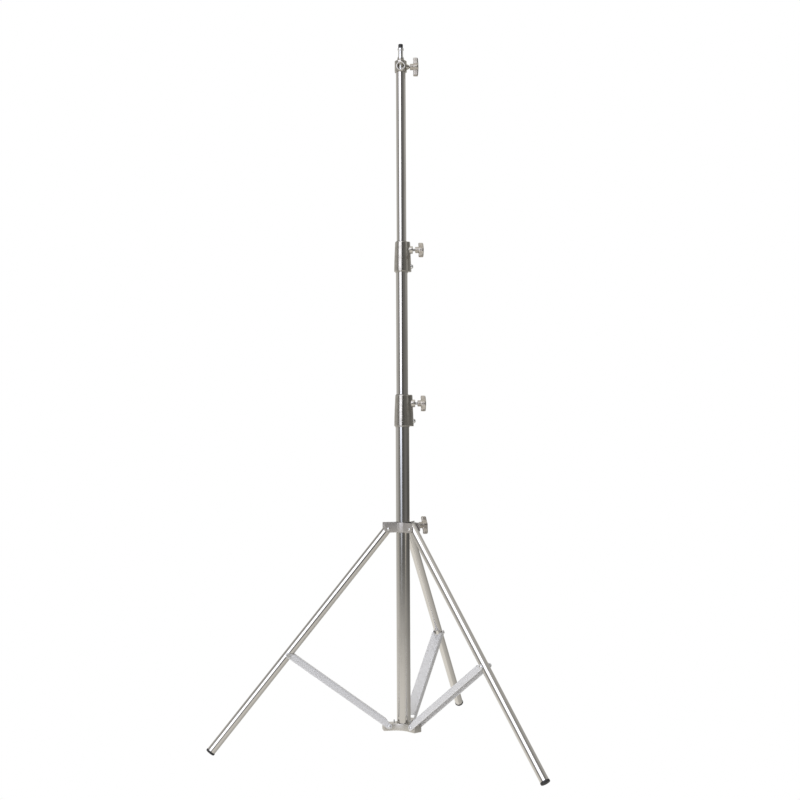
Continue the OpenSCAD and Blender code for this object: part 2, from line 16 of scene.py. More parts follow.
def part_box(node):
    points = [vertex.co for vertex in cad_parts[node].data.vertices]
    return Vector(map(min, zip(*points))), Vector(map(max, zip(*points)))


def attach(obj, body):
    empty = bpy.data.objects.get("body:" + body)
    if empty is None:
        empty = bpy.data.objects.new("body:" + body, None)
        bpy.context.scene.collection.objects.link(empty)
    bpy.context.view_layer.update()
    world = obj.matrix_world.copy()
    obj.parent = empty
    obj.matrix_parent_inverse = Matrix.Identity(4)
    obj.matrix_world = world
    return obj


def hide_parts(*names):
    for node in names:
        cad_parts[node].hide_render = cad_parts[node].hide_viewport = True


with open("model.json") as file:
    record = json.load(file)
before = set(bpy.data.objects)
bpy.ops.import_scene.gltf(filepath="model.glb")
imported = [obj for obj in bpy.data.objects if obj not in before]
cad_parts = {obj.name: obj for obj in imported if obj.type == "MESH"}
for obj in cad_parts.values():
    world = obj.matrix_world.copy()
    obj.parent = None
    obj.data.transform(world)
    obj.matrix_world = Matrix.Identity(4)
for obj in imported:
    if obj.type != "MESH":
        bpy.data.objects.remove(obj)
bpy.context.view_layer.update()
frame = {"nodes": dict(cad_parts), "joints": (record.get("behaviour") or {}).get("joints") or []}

MM = 0.001
SCREW_HOLE = 3.56
log = logging.getLogger("stand")
JOINTS = {joint["name"]: joint for joint in frame["joints"]}

Color = tuple[float, float, float]


# --- places --------------------------------------------------------------------------------------


@dataclass(frozen=True)
class Place:
    """A local frame: where its origin is, and where its three axes point, in metres in the stand's frame."""

    origin: np.ndarray
    axes: np.ndarray

    @staticmethod
    def along(origin: Sequence[float], z_axis: Sequence[float], x_hint: Sequence[float]) -> "Place":
        """A frame whose Z is z_axis and whose X is x_hint made square to it."""
        z = np.array(z_axis, float) / np.linalg.norm(z_axis)
        x = np.array(x_hint, float)
        x = x - z * (x @ z)
        x /= np.linalg.norm(x)
        return Place(np.array(origin, float), np.stack([x, np.cross(z, x), z], 1))

    def put(self, points: np.ndarray) -> np.ndarray:
        """Carries local points, in millimetres, into the stand's frame, in metres."""
        return (points * MM) @ self.axes.T + self.origin

    def shifted(self, x: float = 0, y: float = 0, z: float = 0) -> "Place":
        """The same frame moved by millimetres along its own axes."""
        return Place(self.put(np.array([x, y, z], float)), self.axes)

    def turned(self, degrees: float) -> "Place":
        """The same frame turned about its own Z."""
        c, s = math.cos(math.radians(degrees)), math.sin(math.radians(degrees))
        x, y, z = self.axes.T
        return Place(self.origin, np.stack([x * c + y * s, y * c - x * s, z], 1))

    def tipped(self, forward: str) -> "Place":
        """The same origin with Z turned to the local axis named: "x" or "y"."""
        x, y, z = self.axes.T
        order = {"x": [y, z, x], "y": [z, x, y]}[forward]
        return Place(self.origin, np.stack(order, 1))


UPRIGHT = Place(np.zeros(3), np.eye(3))


def upright(z: float) -> Place:
    """An upright frame on the column axis at a height in metres."""
    return Place(np.array([0.0, 0.0, z]), np.eye(3))


# --- meshes --------------------------------------------------------------------------------------


def rounded(corners: Sequence[Sequence[float]], radius: Sequence[float] | float,
            steps: int = 6, closed: bool = True) -> np.ndarray:
    """Rounds the corners of an outline with arcs that touch both sides.

    At a corner whose sides meet at the angle 2h, the arc of radius r starts r / tan(h) from the
    corner and its centre is r / sin(h) along the bisector. The two ends of an open line stay sharp.

    Args:
        corners: points in two or three dimensions.
        radius: one radius, or one for each corner.
        steps: points on each arc.
        closed: whether the last point joins the first.

    Returns:
        The rounded outline's points.
    """
    points = np.array(corners, float)
    radii = np.broadcast_to(np.array(radius, float), len(points)).copy()
    if not closed:
        radii[[0, -1]] = 0
    back = np.roll(points, 1, 0) - points
    ahead = np.roll(points, -1, 0) - points
    back /= np.linalg.norm(back, axis=1, keepdims=True)
    ahead /= np.linalg.norm(ahead, axis=1, keepdims=True)
    half = 0.5 * np.arccos(np.clip((back * ahead).sum(1), -1, 1))
    bend = math.pi - 2 * half
    round_here = (radii > 0) & (bend > 1e-3)
    half = np.where(round_here, half, 0.7)
    bend = np.where(round_here, bend, 0.5)
    bisector = back + ahead
    bisector /= np.maximum(np.linalg.norm(bisector, axis=1, keepdims=True), 1e-9)
    centre = points + bisector * (radii / np.sin(half))[:, None]
    start = points + back * (radii / np.tan(half))[:, None] - centre
    end = points + ahead * (radii / np.tan(half))[:, None] - centre
    t = np.linspace(0, 1, steps)[None, :, None]
    bend = bend[:, None, None]
    swung = start[:, None] * np.sin((1 - t) * bend) + end[:, None] * np.sin(t * bend)
    arcs = centre[:, None] + swung / np.sin(bend)
    keep = np.ones((len(points), steps), bool)
    keep[~round_here, 1:] = False
    arcs[~round_here] = points[~round_here][:, None]
    return arcs[keep]


def smooth_max(a: np.ndarray, b: np.ndarray, blend: float) -> np.ndarray:
    """The larger of two surfaces, filleted: (a + b + root of (a - b)^2 + blend^2) / 2."""
    return 0.5 * (a + b + np.sqrt((a - b) ** 2 + blend ** 2))


def turn_angles(count: int) -> np.ndarray:
    """Evenly spaced angles round a full turn."""
    return np.linspace(0, 2 * math.pi, count, endpoint=False)


class Shape:
    """Points and faces of one piece, gathered from grids and built into one mesh."""

    def __init__(self) -> None:
        """Starts with nothing."""
        self._points: list[np.ndarray] = []
        self._quads: list[np.ndarray] = []
        self._count = 0

    def grid(self, points: np.ndarray, wrap_rows: bool = False, wrap_cols: bool = False,
             keep: np.ndarray | None = None) -> "Shape":
        """Adds a grid of points joined by quads.

        Args:
            points: an array of rows x columns x 3, in metres.
            wrap_rows: joins the last row to the first.
            wrap_cols: joins the last column to the first.
            keep: which quads are made, rows x columns of them.

        Returns:
            This shape.
        """
        rows, cols = points.shape[:2]
        index = np.arange(rows * cols).reshape(rows, cols) + self._count
        if wrap_rows:
            index = np.concatenate([index, index[:1]], 0)
        if wrap_cols:
            index = np.concatenate([index, index[:, :1]], 1)
        quads = np.stack([index[:-1, :-1], index[:-1, 1:], index[1:, 1:], index[1:, :-1]], -1)
        if keep is not None:
            quads = quads[keep]
        self._points.append(points.reshape(-1, 3))
        self._quads.append(quads.reshape(-1, 4))
        self._count += rows * cols
        return self

    def closed_rows(self, points: np.ndarray) -> "Shape":
        """Adds a tube of rows whose columns wrap, closed at both ends by a fan to each end row's middle."""
        first = np.broadcast_to(points[:1].mean(1, keepdims=True), points[:1].shape)
        last = np.broadcast_to(points[-1:].mean(1, keepdims=True), points[-1:].shape)
        return self.grid(np.concatenate([first, points, last], 0), wrap_cols=True)

    def lathe(self, place: Place, profile: np.ndarray, segments: int = 96, ring: bool = False,
              radius: Callable[[np.ndarray, np.ndarray, np.ndarray], np.ndarray] | None = None) -> "Shape":
        """Adds a profile of (radius, height) turned about the place's Z.

        Args:
            place: the local frame.
            profile: points in millimetres, rows of radius and height.
            segments: columns round the axis.
            ring: the profile is a closed loop, such as a tube's wall, and not a solid's side.
            radius: an optional rule that changes the radius from (radius, height, angle).

        Returns:
            This shape.
        """
        angle = turn_angles(segments)[None, :]
        r, z = profile[:, :1] + 0 * angle, profile[:, 1:] + 0 * angle
        if radius is not None:
            r = radius(r, z, angle + 0 * r)
        points = place.put(np.stack([r * np.cos(angle), r * np.sin(angle), z], -1))
        return self.grid(points, wrap_rows=True, wrap_cols=True) if ring else self.closed_rows(points)

    def build(self, name: str, sharp: float = 38.0, outwards: bool = True) -> bpy.types.Object:
        """Makes the mesh object: merges doubles, points the faces outwards and marks the sharp edges."""
        mesh = bpy.data.meshes.new(name)
        mesh.from_pydata(np.concatenate(self._points), [], np.concatenate(self._quads))
        shell = bmesh.new()
        shell.from_mesh(mesh)
        bmesh.ops.remove_doubles(shell, verts=shell.verts, dist=1e-6)
        bmesh.ops.dissolve_degenerate(shell, edges=shell.edges, dist=1e-7)
        if outwards:
            bmesh.ops.recalc_face_normals(shell, faces=shell.faces)
        shell.to_mesh(mesh)
        shell.free()
        finish_shading(mesh, sharp)
        piece = bpy.data.objects.new(name, mesh)
        bpy.context.scene.collection.objects.link(piece)
        return piece


def finish_shading(mesh: bpy.types.Mesh, sharp: float) -> None:
    """Smooth shading, with edges sharper than an angle in degrees kept crisp."""
    mesh.polygons.foreach_set("use_smooth", np.ones(len(mesh.polygons), bool))
    mesh.set_sharp_from_angle(angle=math.radians(sharp))


def settle(piece: bpy.types.Object, sharp: float = 38.0) -> None:
    """Replaces a piece's mesh by what its modifiers make of it."""
    bpy.context.view_layer.update()
    made = bpy.data.meshes.new_from_object(piece.evaluated_get(bpy.context.evaluated_depsgraph_get()))
    made.name = piece.name
    piece.modifiers.clear()
    piece.data = made
    finish_shading(made, sharp)


def fuse(piece: bpy.types.Object, voxel: float, rounds: int) -> None:
    """Fuses overlapping solids as a casting: a voxel skin, relaxed until its inner corners are filleted."""
    skin = piece.modifiers.new("Fuse", "REMESH")
    skin.mode = "VOXEL"
    skin.voxel_size = voxel * MM
    relax = piece.modifiers.new("Relax", "SMOOTH")
    relax.factor = 0.5
    relax.iterations = rounds
    settle(piece, 180)


def weld(piece: bpy.types.Object, extras: Sequence[bpy.types.Object]) -> None:
    """Joins closed parts to a closed piece, without their hidden inner faces."""
    for extra in extras:
        join = piece.modifiers.new("Weld", "BOOLEAN")
        join.operation = "UNION"
        join.solver = "EXACT"
        join.object = extra
    settle(piece, 180)
    for extra in extras:
        bpy.data.meshes.remove(extra.data)


def drill(piece: bpy.types.Object, bits: Sequence[tuple[Place, float, float, float]],
          sharp: float = 38.0) -> None:
    """Cuts round holes; each bit is a place, a radius and its start and end along the place's Z."""
    cutters = [
        Shape().lathe(place, np.array([[r, start], [r, end]], float), 64).build(f"bit_{i}")
        for i, (place, r, start, end) in enumerate(bits)
    ]
    for cutter in cutters:
        cut = piece.modifiers.new("Drill", "BOOLEAN")
        cut.operation = "DIFFERENCE"
        cut.solver = "EXACT"
        cut.object = cutter
    settle(piece, sharp)
    for cutter in cutters:
        bpy.data.meshes.remove(cutter.data)


# --- shader maths --------------------------------------------------------------------------------


class Value:
    """A number that varies over a surface. Arithmetic on it adds Math nodes."""

    def __init__(self, graph: "Graph", socket: Any) -> None:
        """Wraps an output socket of a graph's node."""
        self.graph = graph
        self.socket = socket

    def _math(self, operation: str, *terms: Any) -> "Value":
        """Adds one Math node."""
        node = self.graph.node("ShaderNodeMath", {"operation": operation}, *terms)
        return Value(self.graph, node.outputs[0])

    def __add__(self, other: Any) -> "Value":
        """Sum."""
        return self._math("ADD", self, other)

    def __sub__(self, other: Any) -> "Value":
        """Difference."""
        return self._math("SUBTRACT", self, other)

    def __rsub__(self, other: Any) -> "Value":
        """Difference from a number."""
        return self._math("SUBTRACT", other, self)

    def __mul__(self, other: Any) -> "Value":
        """Product."""
        return self._math("MULTIPLY", self, other)

    def __abs__(self) -> "Value":
        """Size without sign."""
        return self._math("ABSOLUTE", self)

    def __neg__(self) -> "Value":
        """Opposite sign."""
        return self._math("MULTIPLY", self, -1.0)

    __radd__ = __add__
    __rmul__ = __mul__

    def arcsine(self) -> "Value":
        """Angle whose sine is the value."""
        return self._math("ARCSINE", self)

    def angle_to(self, across: "Value") -> "Value":
        """Angle of the point whose rise is this value and whose run is across."""
        return self._math("ARCTAN2", self, across)

    def at_most(self, other: Any) -> "Value":
        """The smaller of two values."""
        return self._math("MINIMUM", self, other)

    def at_least(self, other: Any) -> "Value":
        """The larger of two values."""
        return self._math("MAXIMUM", self, other)

    def step(self, start: float, end: float, low: float = 0.0, high: float = 1.0) -> "Value":
        """Rises smoothly from low, where the value is start, to high, where it is end."""
        node = self.graph.node("ShaderNodeMapRange", {"interpolation_type": "SMOOTHSTEP"},
                               self, start, end, low, high)
        return Value(self.graph, node.outputs["Result"])


class Graph:
    """A node tree of a material or of the world."""

    def __init__(self, tree: bpy.types.NodeTree) -> None:
        """Empties the tree and keeps it."""
        self.tree = tree
        tree.nodes.clear()

    def node(self, kind: str, settings: dict[str, Any] | None = None, *sockets: Any, **named: Any) -> Any:
        """Adds any node: its settings first, then its sockets in order, then sockets by name.

        Args:
            kind: the node's type.
            settings: properties such as an operation.
            sockets: values or links for the first inputs; None leaves an input alone.
            named: values or links by input name, with _ for a space.

        Returns:
            The node.
        """
        made = self.tree.nodes.new(kind)
        for key, value in (settings or {}).items():
            setattr(made, key, value)
        for target, value in zip(made.inputs, sockets):
            self.plug(target, value)
        return self.feed(made, **named)

    def feed(self, node: Any, **named: Any) -> Any:
        """Gives a node's inputs their values or links by name, with _ for a space, and returns the node."""
        for key, value in named.items():
            self.plug(node.inputs[key.replace("_", " ")], value)
        return node

    def plug(self, target: Any, value: Any) -> None:
        """Gives an input a link or a constant."""
        if value is None:
            return
        if isinstance(value, Value):
            value = value.socket
        if isinstance(value, bpy.types.NodeSocket):
            self.tree.links.new(value, target)
        else:
            target.default_value = (*value, 1.0) if target.type == "RGBA" and len(value) == 3 else value

    def local(self, place: Place, grain: Sequence[float]) -> Any:
        """Object coordinates in a place's frame, divided by a grain size in millimetres along each axis."""
        coordinates = self.node("ShaderNodeTexCoord")
        turn = Matrix(place.axes.tolist()).to_euler("XYZ")
        mapping = self.node("ShaderNodeMapping", {"vector_type": "TEXTURE"}, coordinates.outputs["Object"],
                            Location=place.origin.tolist(), Rotation=tuple(turn),
                            Scale=[size * MM for size in grain])
        return mapping.outputs[0]

    def grain(self, size: Sequence[float] | float, place: "Place | None" = None, detail: float = 2.0,
              roughness: float = 0.5) -> Value:
        """Fractal noise between 0 and 1, with a grain size in millimetres along a place's axes."""
        sizes = size if isinstance(size, Sequence) else (size,) * 3
        node = self.node("ShaderNodeTexNoise", {}, Vector=self.local(place or UPRIGHT, sizes), Scale=1.0,
                         Detail=detail, Roughness=roughness)
        return Value(self, node.outputs["Fac"])

    def pointiness(self) -> Value:
        """How far the surface juts out at each point, from the mesh."""
        return Value(self, self.node("ShaderNodeNewGeometry").outputs["Pointiness"])

    def axis(self, vector: Any, name: str) -> Value:
        """One coordinate of a vector."""
        node = self.node("ShaderNodeSeparateXYZ", {}, vector)
        return Value(self, node.outputs[name])

    def blend(self, factor: Any, first: Any, second: Any) -> Any:
        """A colour between two colours."""
        node = self.node("ShaderNodeMix", {"data_type": "RGBA"})
        for target, value in ((node.inputs[0], factor), (node.inputs[6], first), (node.inputs[7], second)):
            self.plug(target, value)
        return node.outputs[2]

    def bump(self, height: Value, depth: float, strength: float = 1.0, onto: Any = None) -> Any:
        """A normal pushed by a height between 0 and 1, times a depth in millimetres."""
        return self.node("ShaderNodeBump", {}, Height=height, Distance=depth * MM, Strength=strength,
                         Normal=onto).outputs["Normal"]


def principled(name: str) -> tuple[bpy.types.Material, Graph, Any]:
    """A new material with one Principled shader wired to its output."""
    material = bpy.data.materials.new(name)
    material.use_nodes = True
    graph = Graph(material.node_tree)
    shader = graph.node("ShaderNodeBsdfPrincipled")
    graph.node("ShaderNodeOutputMaterial", {}, shader.outputs[0])
    return material, graph, shader


# --- finishes ------------------------------------------------------------------------------------


class Slot(Enum):
    """The record's material slots."""

    TUBE = "tube_steel"
    CAST = "cast_metal"
    KNOB = "knob_metal"
    SPIDER = "spider_cast"
    YOKE = "yoke_plate"
    STRUT = "strut_sheet"
    FASTENER = "fastener"
    SCREW = "screw_steel"
    NYLON = "black_nylon"
    RUBBER = "foot_rubber"


@dataclass(frozen=True)
class DrawnTube:
    """Polished stainless tube: a mirror with fine lengthwise draw lines, haze and a few slide marks."""

    clean: Color = (0.640, 0.622, 0.590)
    hazy: Color = (0.560, 0.545, 0.515)
    gloss: float = 0.085
    slide_marks: float = 0.08

    def material(self, name: str, place: Place) -> bpy.types.Material:
        """Makes the material for a tube that lies along a place's Z."""
        material, graph, shader = principled(name)
        lines = graph.grain((0.5, 0.5, 160.0), place, detail=3.0, roughness=0.6)
        broad = graph.grain((3.0, 3.0, 400.0), place, detail=1.0)
        haze = graph.grain((45.0, 45.0, 120.0), place, detail=4.0, roughness=0.6).step(0.42, 0.75)
        marks = graph.grain((0.28, 0.28, 38.0), place, detail=1.0).step(0.70, 0.78)
        graph.feed(shader, Base_Color=graph.blend(haze * 0.6 + marks * 0.3, self.clean, self.hazy),
                   Metallic=1.0,
                   Roughness=lines * 0.03 + broad * 0.03 + haze * 0.05 + marks * self.slide_marks
                   + (self.gloss - 0.03),
                   Normal=graph.bump(lines, 0.002, 0.4))
        return material


@dataclass(frozen=True)
class CastMetal:
    """Plated casting, semi-bright: soft orange peel, clouded plating and brighter rubbed edges."""

    bright: Color
    dull: Color
    rubbed: Color
    gloss: float
    peel: float = 0.006

    def material(self, name: str) -> bpy.types.Material:
        """Makes the material."""
        material, graph, shader = principled(name)
        cloud = graph.grain(14.0, detail=4.0, roughness=0.6).step(0.35, 0.70)
        peel = graph.grain(1.6)
        grain = graph.grain(0.30)
        pits = graph.grain(0.9, detail=0.0).step(0.78, 0.84)
        edge = graph.pointiness().step(0.53, 0.60)
        color = graph.blend(cloud, self.bright, self.dull)
        color = graph.blend(pits * 0.3, color, self.dull)
        normal = graph.bump(peel, self.peel, 0.4)
        graph.feed(shader, Base_Color=graph.blend(edge * 0.7, color, self.rubbed),
                   Metallic=1.0,
                   Roughness=cloud * 0.06 + grain * 0.04 + pits * 0.10 - edge * 0.04 + self.gloss,
                   Normal=graph.bump(grain - pits, 0.001, 0.4, normal))
        return material


@dataclass(frozen=True)
class SatinSheet:
    """Pressed or cast metal with a satin skin: fine tumbled grain and light handling marks."""

    color: Color
    mark: Color
    gloss: float
    grain: tuple[float, float, float]
    metallic: float = 1.0

    def material(self, name: str, place: Place = UPRIGHT) -> bpy.types.Material:
        """Makes the material; the grain's three sizes lie along the place's axes."""
        material, graph, shader = principled(name)
        grain = graph.grain(self.grain, place, detail=3.0, roughness=0.6)
        cloud = graph.grain(22.0, detail=4.0, roughness=0.6).step(0.4, 0.75)
        nicks = graph.grain((2.2, 0.7, 1.1), detail=1.0).step(0.72, 0.78)
        graph.feed(shader, Base_Color=graph.blend(cloud * 0.5 + nicks * 0.5, self.color, self.mark),
                   Metallic=self.metallic,
                   Roughness=grain * 0.10 + cloud * 0.06 - nicks * 0.08 + self.gloss,
                   Normal=graph.bump(grain, 0.003, 0.4))
        return material


@dataclass(frozen=True)
class TurnedSteel:
    """Bright turned or headed steel with faint tool rings about its axis."""

    color: Color = (0.74, 0.74, 0.73)
    gloss: float = 0.17

    def material(self, name: str, place: Place) -> bpy.types.Material:
        """Makes the material; the tool rings lie round the place's Z."""
        material, graph, shader = principled(name)
        rings = graph.grain((60.0, 60.0, 0.16), place, detail=1.0)
        cloud = graph.grain(5.0, detail=3.0).step(0.4, 0.8)
        worn = tuple(part * 0.82 for part in self.color)
        graph.feed(shader, Base_Color=graph.blend(cloud * 0.5, self.color, worn),
                   Metallic=1.0,
                   Roughness=rings * 0.10 + cloud * 0.06 + (self.gloss - 0.04),
                   Normal=graph.bump(rings, 0.002, 0.4))
        return material


@dataclass(frozen=True)
class MouldedBlack:
    """Black moulded plastic or rubber: fine spark-eroded texture, and pale scuffs where it rubs."""

    color: Color
    scuff: Color
    gloss: float
    scuff_amount: float
    texture: float

    def material(self, name: str) -> bpy.types.Material:
        """Makes the material."""
        material, graph, shader = principled(name)
        texture = graph.grain(0.45)
        patches = graph.grain(7.0, detail=4.0, roughness=0.65).step(0.50, 0.80)
        edge = graph.pointiness().step(0.51, 0.58)
        worn = (patches * 0.6 + edge * 0.5).at_most(1.0) * self.scuff_amount
        graph.feed(shader, Base_Color=graph.blend(worn, self.color, self.scuff),
                   Roughness=texture * 0.10 + patches * 0.12 + self.gloss,
                   Normal=graph.bump(texture, self.texture, 0.7))
        return material


TUBE_STEEL = DrawnTube()
COLLAR_METAL = CastMetal((0.53, 0.51, 0.47), (0.44, 0.42, 0.38), (0.62, 0.60, 0.56), 0.15)
KNOB_METAL = CastMetal((0.46, 0.43, 0.38), (0.38, 0.35, 0.31), (0.58, 0.55, 0.50), 0.33)
SPIDER_METAL = SatinSheet((0.62, 0.60, 0.56), (0.53, 0.51, 0.47), 0.36, (0.35, 0.35, 0.35))
YOKE_SHEET = SatinSheet((0.52, 0.50, 0.475), (0.45, 0.43, 0.41), 0.36, (0.30, 0.30, 0.30), 0.85)
STRUT_SHEET = SatinSheet((0.80, 0.80, 0.81), (0.71, 0.71, 0.72), 0.40, (0.5, 0.5, 60.0), 0.35)
BRIGHT_STEEL = TurnedSteel()
BLACK_NYLON = MouldedBlack((0.022, 0.022, 0.023), (0.10, 0.10, 0.10), 0.36, 0.25, 0.010)
FOOT_RUBBER = MouldedBlack((0.016, 0.016, 0.017), (0.17, 0.16, 0.15), 0.46, 0.55, 0.020)


# --- dressing ------------------------------------------------------------------------------------


def dress(piece: bpy.types.Object, material: bpy.types.Material, body: str, slot: Slot, *nodes: str) -> None:
    """Gives a piece its material, its body and the CAD nodes that it stands for."""
    piece.data.materials.clear()
    piece.data.materials.append(material)
    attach(piece, body)
    if nodes:
        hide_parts(*nodes)
    log.info("%s: %d faces on %s", piece.name, len(piece.data.polygons), body)


def dress_node(node: str, material: bpy.types.Material) -> None:
    """Gives a CAD node that stays in view a better material."""
    mesh = frame["nodes"][node].data
    mesh.materials.clear()
    mesh.materials.append(material)
    log.info("%s: CAD node dressed", node)


def low(node: str) -> float:
    """Height of a CAD node's lowest point, in metres."""
    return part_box(node)[0].z


def high(node: str) -> float:
    """Height of a CAD node's highest point, in metres."""
    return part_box(node)[1].z


# --- tubes ---------------------------------------------------------------------------------------


@dataclass(frozen=True)
class Tube:
    """A round tube along Z with softened ends."""

    radius: float
    wall: float
    start: float
    end: float
    lip: float = 0.25

    def shape(self, place: Place, rows: Sequence[float] = ()) -> Shape:
        """The tube's wall as a closed profile turned about the axis, with extra rings at some heights."""
        inner = self.radius - self.wall
        rings = np.array([h for h in rows if self.start < h < self.end], float)
        up = np.stack([np.full(len(rings), self.radius), rings], 1)
        down = np.stack([np.full(len(rings), inner), rings[::-1]], 1)
        lip = self.lip
        profile = np.concatenate([
            [[inner + lip, self.start], [self.radius - lip, self.start], [self.radius, self.start + lip]], up,
            [[self.radius, self.end - lip], [self.radius - lip, self.end], [inner + lip, self.end],
             [inner, self.end - lip]], down,
            [[inner, self.start + lip]],
        ])
        return Shape().lathe(place, profile, 128, ring=True)


# --- clamp knobs and their screws ----------------------------------------------------------------


@dataclass(frozen=True)
class ClampKnob:
    """T-shaped cast knob on a threaded clamp screw. Sizes are along and across the screw's axis."""

    name: str
    hub_start: float
    screw_tip: float
    boss_end: float
    turn: float
    hub_radius: float = 8.2
    hub_length: float = 22.0
    wing_start: float = 7.8
    span: float = 48.0
    thickness: float = 8.5
    screw_radius: float = 3.5
    pitch: float = 1.25
    thread_depth: float = 0.55

    def place(self) -> Place:
        """The axis through the column's centre line at the knob's height, with X along the wings' span."""
        joint = JOINTS[f"{self.name}_turn"]
        return Place.along((0, 0, joint["pos_m"][2]), joint["axis"], (0, 0, 1)).turned(self.turn)

    def wings(self) -> Shape:
        """Wings and hub as one loft along the span.

        Each section is a superellipse |a|^4 + |b|^4 = 1 whose half-thickness is the larger, smoothly, of
        the wing's own and the hub circle's half-chord. The tips close as an ellipse, and the outer
        face is a shallow arc.
        """
        half = self.span / 2
        tip = 3.2
        v = np.concatenate([-half + tip * (1 - np.cos(np.linspace(0, math.pi / 2, 12))),
                            np.linspace(-half + tip, half - tip, 61)[1:-1],
                            half - tip * (1 - np.cos(np.linspace(math.pi / 2, 0, 12)))])[:, None]
        past = np.clip((np.abs(v) - (half - tip)) / tip, 0, 1)
        close = np.sqrt(np.clip(1 - past ** 2.4, 0, 1))
        chord = np.sqrt(np.clip(self.hub_radius ** 2 - v ** 2, 0, None))
        waist = self.thickness / 2 - 0.5 * np.exp(-((np.abs(v) - 13) / 6) ** 2)
        thick = smooth_max(waist, chord, 1.6) * (0.62 + 0.38 * close)
        outer = self.hub_length - v ** 2 / 360
        inner = self.wing_start + 0.9 * np.exp(-((np.abs(v) - 15) / 7) ** 2)
        middle, depth = (outer + inner) / 2, (outer - inner) / 2 * (0.76 + 0.24 * close)
        angle = turn_angles(48)[None, :]
        c, s = np.cos(angle), np.sin(angle)
        power = 0.40
        a = np.sign(c) * np.abs(c) ** power
        b = np.sign(s) * np.abs(s) ** power
        points = np.stack([v + 0 * a, thick * b, self.hub_start + middle + depth * a], -1)
        return Shape().closed_rows(self.place().put(points))

    def hub(self, shape: Shape) -> Shape:
        """The round hub below the wings, with a rolled rim where it faces the boss."""
        start, end = self.hub_start, self.hub_start + self.hub_length - 2.5
        side = self.hub_radius - 0.2
        profile = rounded([[0, start], [side, start], [side, end], [0, end]], [0, 1.1, 1.5, 0], 6, closed=False)
        return shape.lathe(self.place(), profile, 72)

    def screw(self) -> Shape:
        """The clamp screw, threaded between the boss and the hub: the radius falls along a helix."""
        start, end = self.screw_tip, self.hub_start + 11.8
        bare = np.arange(self.boss_end - 3.0, self.hub_start + 1.0, self.pitch / 8)
        heights = np.concatenate([[start, start + 0.5, self.boss_end - 4.0], bare, [self.hub_start + 2, end]])
        radii = np.full(len(heights), self.screw_radius)
        radii[0] -= 0.5
        threaded = (heights >= bare[0]) & (heights <= bare[-1])

        def helix(r: np.ndarray, z: np.ndarray, angle: np.ndarray) -> np.ndarray:
            """Radius less the depth of a rounded V whose phase climbs one pitch each turn."""
            phase = (z / self.pitch + angle / (2 * math.pi)) % 1.0
            groove = self.thread_depth * np.abs(2 * phase - 1)
            return r - np.where(threaded[:, None], groove, 0)

        return Shape().lathe(self.place(), np.stack([radii, heights], 1), 40, radius=helix)

    def make(self) -> None:
        """Builds and dresses the knob and its screw."""
        knob = self.hub(self.wings()).build(f"{self.name}_casting")
        fuse(knob, 0.45, 3)
        dress(knob, KNOB_METAL.material(f"{self.name}_plating"), self.name, Slot.KNOB, self.name)
        screw = self.screw().build(f"{self.name}_threaded_screw", 50)
        dress(screw, BRIGHT_STEEL.material(f"{self.name}_screw_steel", self.place()), self.name, Slot.SCREW,
              f"{self.name}_screw")


# --- collars -------------------------------------------------------------------------------------


